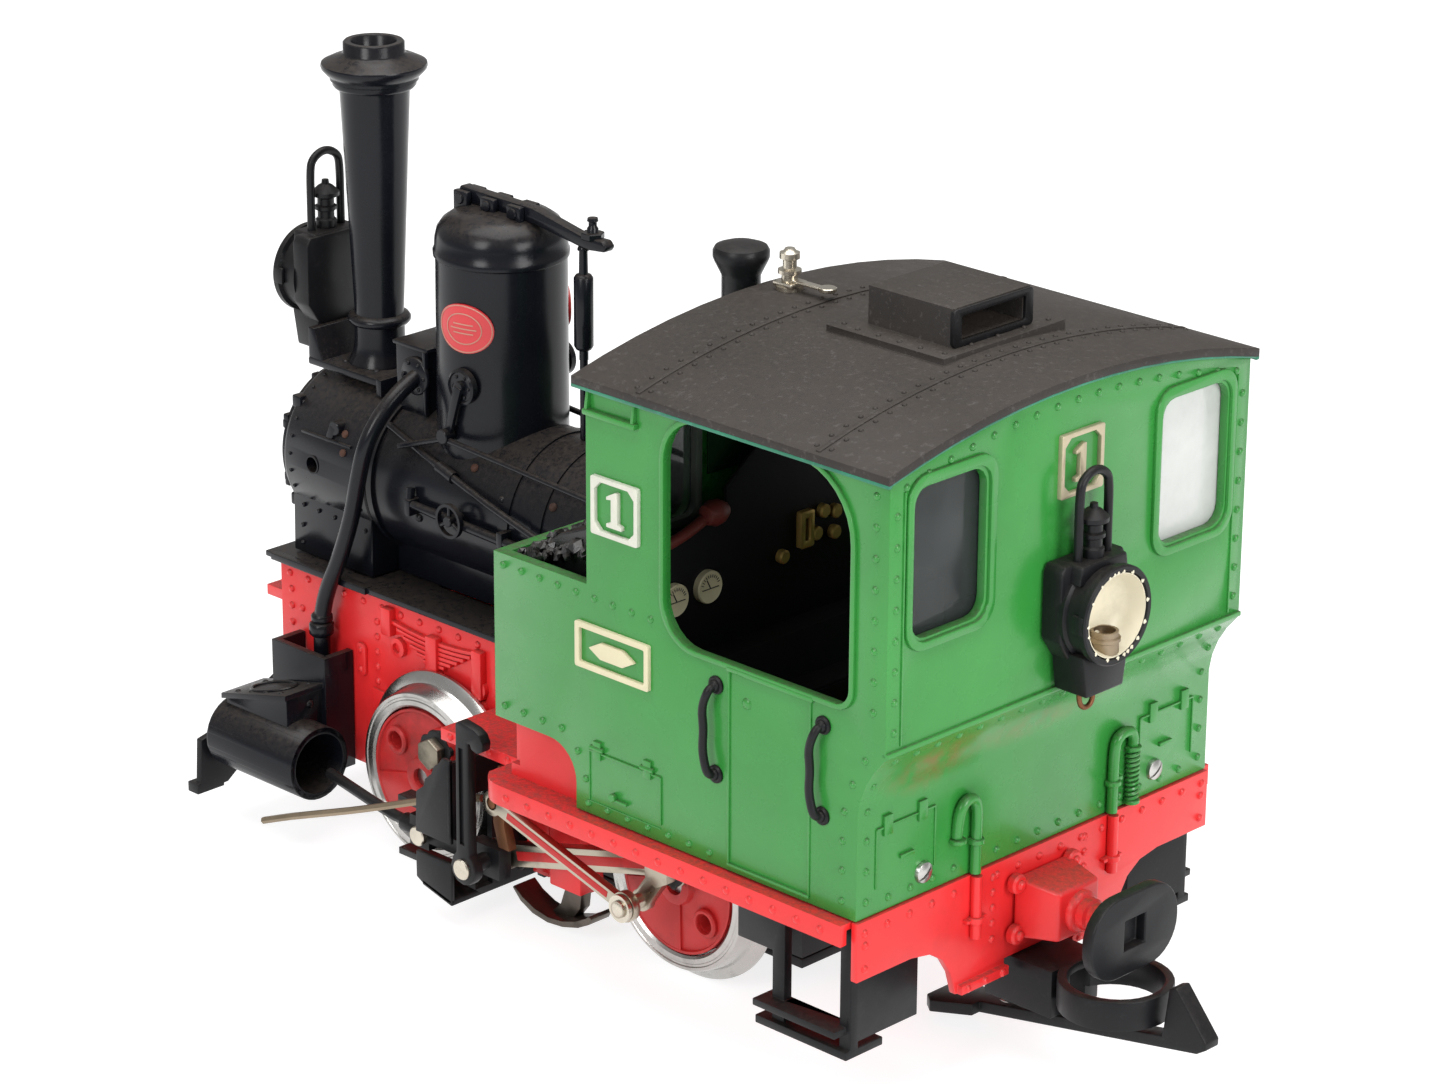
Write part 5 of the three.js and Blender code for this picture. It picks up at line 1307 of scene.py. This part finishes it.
def build_rear_beam():
    """Riveted buffer beam with the sprung buffer and the coupler under it."""
    refinish("rear_beam", "red", 0.3)
    back = -0.6
    top = [(back, y, -2.4) for y in [-46.4 + 5.8 * i for i in range(17)]]
    ends = [(back, side * 46.2, z) for side in (1, -1) for z in (-4.8, -9.4)]
    columns = [(back, side * 12.6, z) for side in (1, -1) for z in (-2.6, -5.6, -8.6, -11.6, -14.8)]
    foot = [(-1.8, side * y, -21.7) for side in (1, -1) for y in (20, 15.4, 10.6)]
    keep(studs(top + ends + columns + foot, BACKWARD, 0.8, 0.52), "beam_rivets", ENGINE, "red")
    box = block(-10.4, -1.0, -7.4, 7.4, -16.0, -4.0, 0)
    waist = at(-8, 0, BUFFER_Z)
    for vertex in box.data.vertices:
        if vertex.co.x < waist.x:
            vertex.co.y *= 0.74
            vertex.co.z = waist.z + (vertex.co.z - waist.z) * 0.8
    soften(box, 0.8, 3)
    collar = turned([(0, -9.8), (3.9, -9.8), (4.0, -11.2), (3.6, -11.8), (3.1, -12), (3.1, -13.6), (2.6, -14),
                     (2.5, -16.2), (0, -16.2)], "x", (0, 0, BUFFER_Z), 40)
    keep(joined([box, collar]), "buffer_housing_shell", ENGINE, "red", ("buffer_housing",), 40)
    lugs = []
    for y, z in ((7.6, -5), (-7.6, -5), (7.6, -15), (-7.6, -15)):
        lugs.append(bar("x", -3.0, -1.0, y, z, 1.9, 24, 0.4))
        lugs.append(studs([(-3.0, y, z)], BACKWARD, 1.0, 0.8, 12))
    keep(joined(lugs), "buffer_lugs", ENGINE, "red")
    refinish("buffer_plate", "black_plain", 0.35, 3)
    refinish("coupler_loop", "black_plain", 0.35)
    refinish("coupler_hook", "black_plain", 0.3)
    turns = [(5.6 + 1.7 * math.cos(a), 1.7 * math.sin(a), -29.8 - a / math.tau * 0.72)
             for a in [math.tau * i / 12 for i in range(60)]]
    spring = wire(turns, 0.22, ring=1)
    keep(spring, "coupler_spring", "coupler_loop", "axle_steel")
    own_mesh(spring)


def build_steps_and_guard():
    """Cab steps at the back and the guard at the front."""
    for _, word in SIDES:
        refinish("cab_step_" + word, "black_plain", 0.3)
    refinish("front_guard", "black_plain", 0.35)


# ---- cylinders and motion ----
def build_cylinders():
    """Cylinders left open behind, with their sloping valve chests."""
    def chest_z(x, lift=0.0):
        return lift - (x - 165.4) * 0.25

    bore = [(6.3, 160.1), (6.6, 160), (7.4, 160), (7.6, 160.3), (7.6, 185.6), (7.2, 186), (0, 186), (0, 184),
            (6.2, 184), (6.2, 160.2), (6.3, 160.1)]
    for side, word in SIDES:
        node = "cylinder_" + word
        tube = turned(bore, "x", (0, CYLINDER_Y * side, CYLINDER_Z), 72)
        keep(refined(node, 0.3), "cylinder_block_" + word, ENGINE, "black", (node,), 40)
        keep(tube, "cylinder_tube_" + word, ENGINE, "black", (), 40)
        cover = [(x, y * side, chest_z(x, -9.3)) for x in (169, 173.6, 178.2, 182.4) for y in (27.2, 34.4)]
        keep(studs(cover, (0.24, 0, 1), 0.7, 0.4, 8), "chest_bolts_" + word, ENGINE, "black_plain")
        oval = [(175.4 + 5.6 * math.cos(a), (30.8 + 3.6 * math.sin(a)) * side) for a in full_turn(36)]
        gasket = wire([(x, y, chest_z(x, -9.1)) for x, y in oval], 0.4, closed=True, ring=2)
        keep(gasket, "chest_gasket_" + word, ENGINE, "black")
        face = studs([(165.9, 29.5 * side, -13)], BACKWARD, 0.9, 0.5, 12)
        keep(face, "chest_plug_" + word, ENGINE, "black")


TREAD = [(14.4, 20), (20.2, 20), (20.5, 20.3), (20.45, 20.9), (20.0, 21.3), (18.3, 21.9), (17.9, 22.5),
         (17.5, 25.5), (17.2, 25.9), (16.6, 26), (16.4, 25.8), (16.0, 25.8), (15.8, 26), (14.9, 26),
         (14.4, 25.6), (14.4, 20)]


def build_wheels():
    """Axles, steel tyres and red wheel discs."""
    for end, middle in WHEELS.items():
        x, z = middle.x, middle.z
        body = "wheelset_" + end
        keep(refined("axle_" + end, 0.1), f"axle_{end}_shell", body, "axle_steel", ("axle_" + end,))
        for side, word in SIDES:
            tyre = turned([(radius, y * side) for radius, y in TREAD], "y", (x, 0, z), 128)
            keep(tyre, f"tyre_{end}_{word}_shell", body, "tyre", (f"tyre_{end}_{word}",), 30)
            node = f"wheel_disc_{end}_{word}"
            keep(refined(node, 0.2), node + "_shell", body, "red_wheel", (node,))
            build_disc_relief(x, z, side, word, end, body)


def build_disc_relief(x, z, side, word, end, body):
    """Rimmed holes, balance weight and hub ring on a wheel's face, and a ragged washer on the crank."""
    crank = math.radians(CRANK_TURN[word])
    face = 25.4 * side
    rim = [(r, face + side * proud) for r, proud in ((1.95, 0), (2.9, 0), (2.9, 0.7), (2.6, 1.0), (2.1, 1.0),
                                                     (1.95, 0.8), (1.95, 0))]
    rims = []
    for turn in (math.pi / 2, -math.pi / 2):
        hole_x, hole_z = circle(x, z, 9.6, crank + turn)
        rims.append(turned(rim, "y", (hole_x, 0, hole_z), 28))
    back = crank + math.pi
    weight = [circle(x, z, 13.6, back + math.radians(-42 + 84 * i / 14)) for i in range(15)]
    weight += [circle(x, z, 4.2, back + math.radians(t)) for t in (50, -50)]
    rims.append(sheet("y", *sorted((face - side * 0.4, face + side * 0.45)), weight, 0.15))
    rims.append(turned([(13.2, face - side * 0.2), (14.0, face - side * 0.2), (14.0, face + side * 0.5),
                        (13.5, face + side * 0.5), (13.2, face - side * 0.2)], "y", (x, 0, z), 64))
    keep(joined(rims), f"disc_relief_{end}_{word}", body, "red_wheel")
    if end == "front":
        pin_x, pin_z = circle(x, z, CRANK_THROW, crank)
        ragged = [circle(pin_x, pin_z, 4.3 + 0.28 * math.sin(5 * a) + 0.2 * math.sin(11 * a + 1), a)
                  for a in full_turn(40)]
        keep(sheet("y", *mirrored(side, 27.0, 28.0), ragged, 0.2), f"crank_washer_front_{word}", body,
             "black_plain")


LEVER_HOOK = [(109.9, -27.6), (108.7, -28.9), (106.9, -29.4), (105.1, -28.9), (103.9, -27.6), (103.5, -26),
              (104.1, -24.1), (105.2, -22.9), (105.3, 0.4), (104.5, 0.4), (104.2, -0.5), (102.6, -1.0),
              (101.2, -0.2), (100.9, 1.4), (101.8, 3.0), (103.4, 3.8), (107.4, 4.4), (108.5, 3.8),
              (108.7, -22.9), (109.8, -24.1), (110.3, -26)]
MOTION_FINISHES = (("crank_pin_front_", "aged_steel", 0.3), ("crosshead_", "black_plain", 0.3),
                   ("main_rod_", "nickel", 0.25), ("return_crank_", "nickel", 0.25),
                   ("eccentric_rod_", "nickel", 0.2), ("expansion_link_", "copper", 0.25),
                   ("radius_rod_", "bronze", 0))


def build_motion():
    """Rods, crossheads, levers and pickup shoes, and the bracket that carries them."""
    bracket = refined("motion_bracket", 0.3)
    for side, _ in SIDES:
        carve(bracket, block(111, 116, *mirrored(side, 29.2, 33.8), -35.2, -15, 0))
    keep(bracket, "motion_bracket_plate", ENGINE, "black_plain", ("motion_bracket",))
    for side, word in SIDES:
        for stem, finish_name, edge in MOTION_FINISHES:
            refinish(stem + word, finish_name, edge)
        node = "combination_lever_" + word
        lever = sheet("y", *mirrored(side, 40.2, 42.6), LEVER_HOOK, 0.35)
        carve(lever, block(106.3, 107.6, *mirrored(side, 42.1, 43), -21, -1, 0))
        keep(lever, "combination_lever_bar_" + word, node, "black_plain", (node,))
        build_bracket_cheek(side, word)
        build_shoe(side, word)
        build_rod_details(side, word)


def build_bracket_cheek(side, word):
    """Outer cheek of the motion bracket, split where the crosshead pin passes, with its ragged top."""
    y0, y1 = mirrored(side, 39.0, 39.9)
    upper = sheet("y", y0, y1, [(113.2, -6.4), (115.4, -6.4), (116.6, -8.0), (117.6, -8.6), (118.6, -10.6),
                                (120.4, -12.2), (120.8, -13.8), (123.0, -15.5), (123.3, -24.0),
                                (113.2, -24.0)], 0.25)
    lower = sheet("y", y0, y1, [(113.2, -28.0), (123.3, -28.0), (123.3, -33.6), (121.4, -34.6),
                                (114.4, -36.4), (113.2, -36.4)], 0.25)
    sole = sheet("y", *mirrored(side, 15.4, 39.9), [(113.2, -35.6), (121.6, -33.6), (121.6, -34.8),
                                                    (113.2, -36.9)], 0.25)
    web = block(113.2, 114.2, *mirrored(side, 36.4, 39.9), -22.9, -7, 0.25)
    keep(joined([upper, lower, sole, web]), "bracket_cheek_" + word, ENGINE, "black_plain")


def build_shoe(side, word):
    """Sprung pickup shoe and the red holder that it slides in."""
    sole = sheet("y", *mirrored(side, 21.6, 27.2),
                 [(87.6, -35.4), (88.4, -36.8), (91.4, -38.4), (95.6, -39.6), (99.8, -40.0), (104, -39.4),
                  (107.4, -37.8), (109.6, -35.6), (109.1, -35.1), (106.8, -36.8), (103.4, -38.2),
                  (99.6, -38.8), (95.8, -38.4), (92, -37.2), (89.4, -35.8), (88.2, -34.9)], 0.15)
    stem = sheet("y", *mirrored(side, 21.8, 24.6),
                 [(93, -27), (97.6, -27), (97.6, -33), (98.8, -36.4), (101.2, -38.8), (95.6, -38.8),
                  (93.4, -36), (93, -33)], 0.2)
    node = "pickup_shoe_" + word
    keep(joined([sole, stem]), "shoe_plate_" + word, node, "shoe_steel", (node,))
    holder = block(91.8, 100.4, *mirrored(side, 19.6, 26), -32.4, -6, 0.4)
    carve(holder, block(92.4, 98.4, *mirrored(side, 21.4, 25), -36, -24, 0))
    column = block(105.4, 111.8, *mirrored(side, 19.6, 21.3), -33.6, -6, 0.4)
    keep(joined([holder, column]), "shoe_holder_" + word, ENGINE, "red")


def along_rod(start, end, from_start, from_end, half, y0, y1, edge=0.12):
    """A narrow strip laid along a rod between two places in the x-z plane."""
    a, b = Vector((start[0], 0, start[1])), Vector((end[0], 0, end[1]))
    way = (b - a).normalized()
    up = Vector((-way.z, 0, way.x))
    first, last = a + way * from_start, b - way * from_end
    corners = [first - up * half, last - up * half, last + up * half, first + up * half]
    return sheet("y", *sorted((y0, y1)), [(c.x, c.z) for c in corners], edge)


def build_rod_details(side, word):
    """Painted flutes, pins, washers and bolt heads on the rods of one side."""
    main_rod, eccentric_rod, crosshead = "main_rod_" + word, "eccentric_rod_" + word, "crosshead_" + word
    crank = math.radians(CRANK_TURN[word])
    rear = WHEELS["rear"]
    big_end = circle(rear.x, rear.z, CRANK_THROW, crank)
    pin_z = MAIN_ROD_PIN_Z
    pin_x = big_end[0] + math.sqrt(MAIN_ROD_LENGTH ** 2 - (big_end[1] - pin_z) ** 2)
    rod_face = 33.2 * side
    flute = along_rod(big_end, (pin_x, pin_z), 6.4, 5.4, 0.95, rod_face - side * 0.3, rod_face + side * 0.12)
    keep(flute, "main_rod_flute_" + word, main_rod, "red_wheel")
    boss = (rear.x, rear.z - 0.4)
    flute = along_rod(boss, LINK_PIN, 4.4, 4.4, 0.7, side * 39.6, side * 39.9)
    keep(flute, "eccentric_rod_flute_" + word, eccentric_rod, "red_wheel")
    washer = hoop("y", (boss[0], 0, boss[1]), 1.4, 2.7, 40.0 * side, 40.9 * side, 32)
    cap = studs([(boss[0], 41.2 * side, boss[1])], (0, side, 0), 1.7, 0.35, 24)
    keep(joined([washer, cap]), "eccentric_washer_" + word, eccentric_rod, "pin_nickel")
    ragged = [circle(*big_end, 4.2 + 0.3 * math.sin(6 * a) + 0.2 * math.sin(13 * a), a) for a in full_turn(40)]
    gasket = sheet("y", *mirrored(side, 33.3, 33.55), ragged, 0.05)
    keep(gasket, "crank_washer_rear_" + word, main_rod, "black_plain")
    for name, x, head in (
            ("crosshead_pin_head_", pin_x, ((0, 42.4), (2.1, 42.4), (2.1, 43.0), (1.9, 43.25), (0, 43.3))),
            ("guide_pin_head_", pin_x + GUIDE_PIN_AHEAD,
             ((0, 37.6), (2.0, 37.6), (2.0, 38.5), (1.8, 38.7), (0, 38.8)))):
        pin = turned([(radius, y * side) for radius, y in head], "y", (x, 0, pin_z), 32)
        keep(pin, name + word, crosshead, "pin_nickel")
    bolts = studs([(112.9, y * side, z) for y, z in ((21.6, -8), (21.6, -34), (27.4, -33.6), (35.6, -14))],
                  BACKWARD, 0.8, 0.5, 10)
    keep(bolts, "bracket_bolts_" + word, ENGINE, "black_plain")


def build_drive():
    """Gearbox with its cover screws, motor and worm shaft."""
    for node, finish_name in (("gearbox", "black_plain"), ("gearbox_cover", "black_plain"),
                              ("motor", "motor_can"), ("worm_shaft", "brass")):
        refinish(node, finish_name, 0.2)
    screws = [turned([(0, -35.3), (1.5, -35.3), (1.5, -35.6), (1.1, -35.8), (0, -35.8)], "z", (x, 0, 0), 24)
              for x in (50, 104, 152)]
    keep(joined(screws), "cover_screws", ENGINE, "axle_steel")


for build in (set_camera, set_light, make_finishes, build_floor, build_cab, build_roof, build_inside,
              build_coal, build_chimney, build_dome, build_boiler, build_smokebox, build_door,
              build_steam_pipes, build_lamps, build_underframe, build_rear_beam, build_steps_and_guard,
              build_cylinders, build_wheels, build_motion, build_drive):
    build()
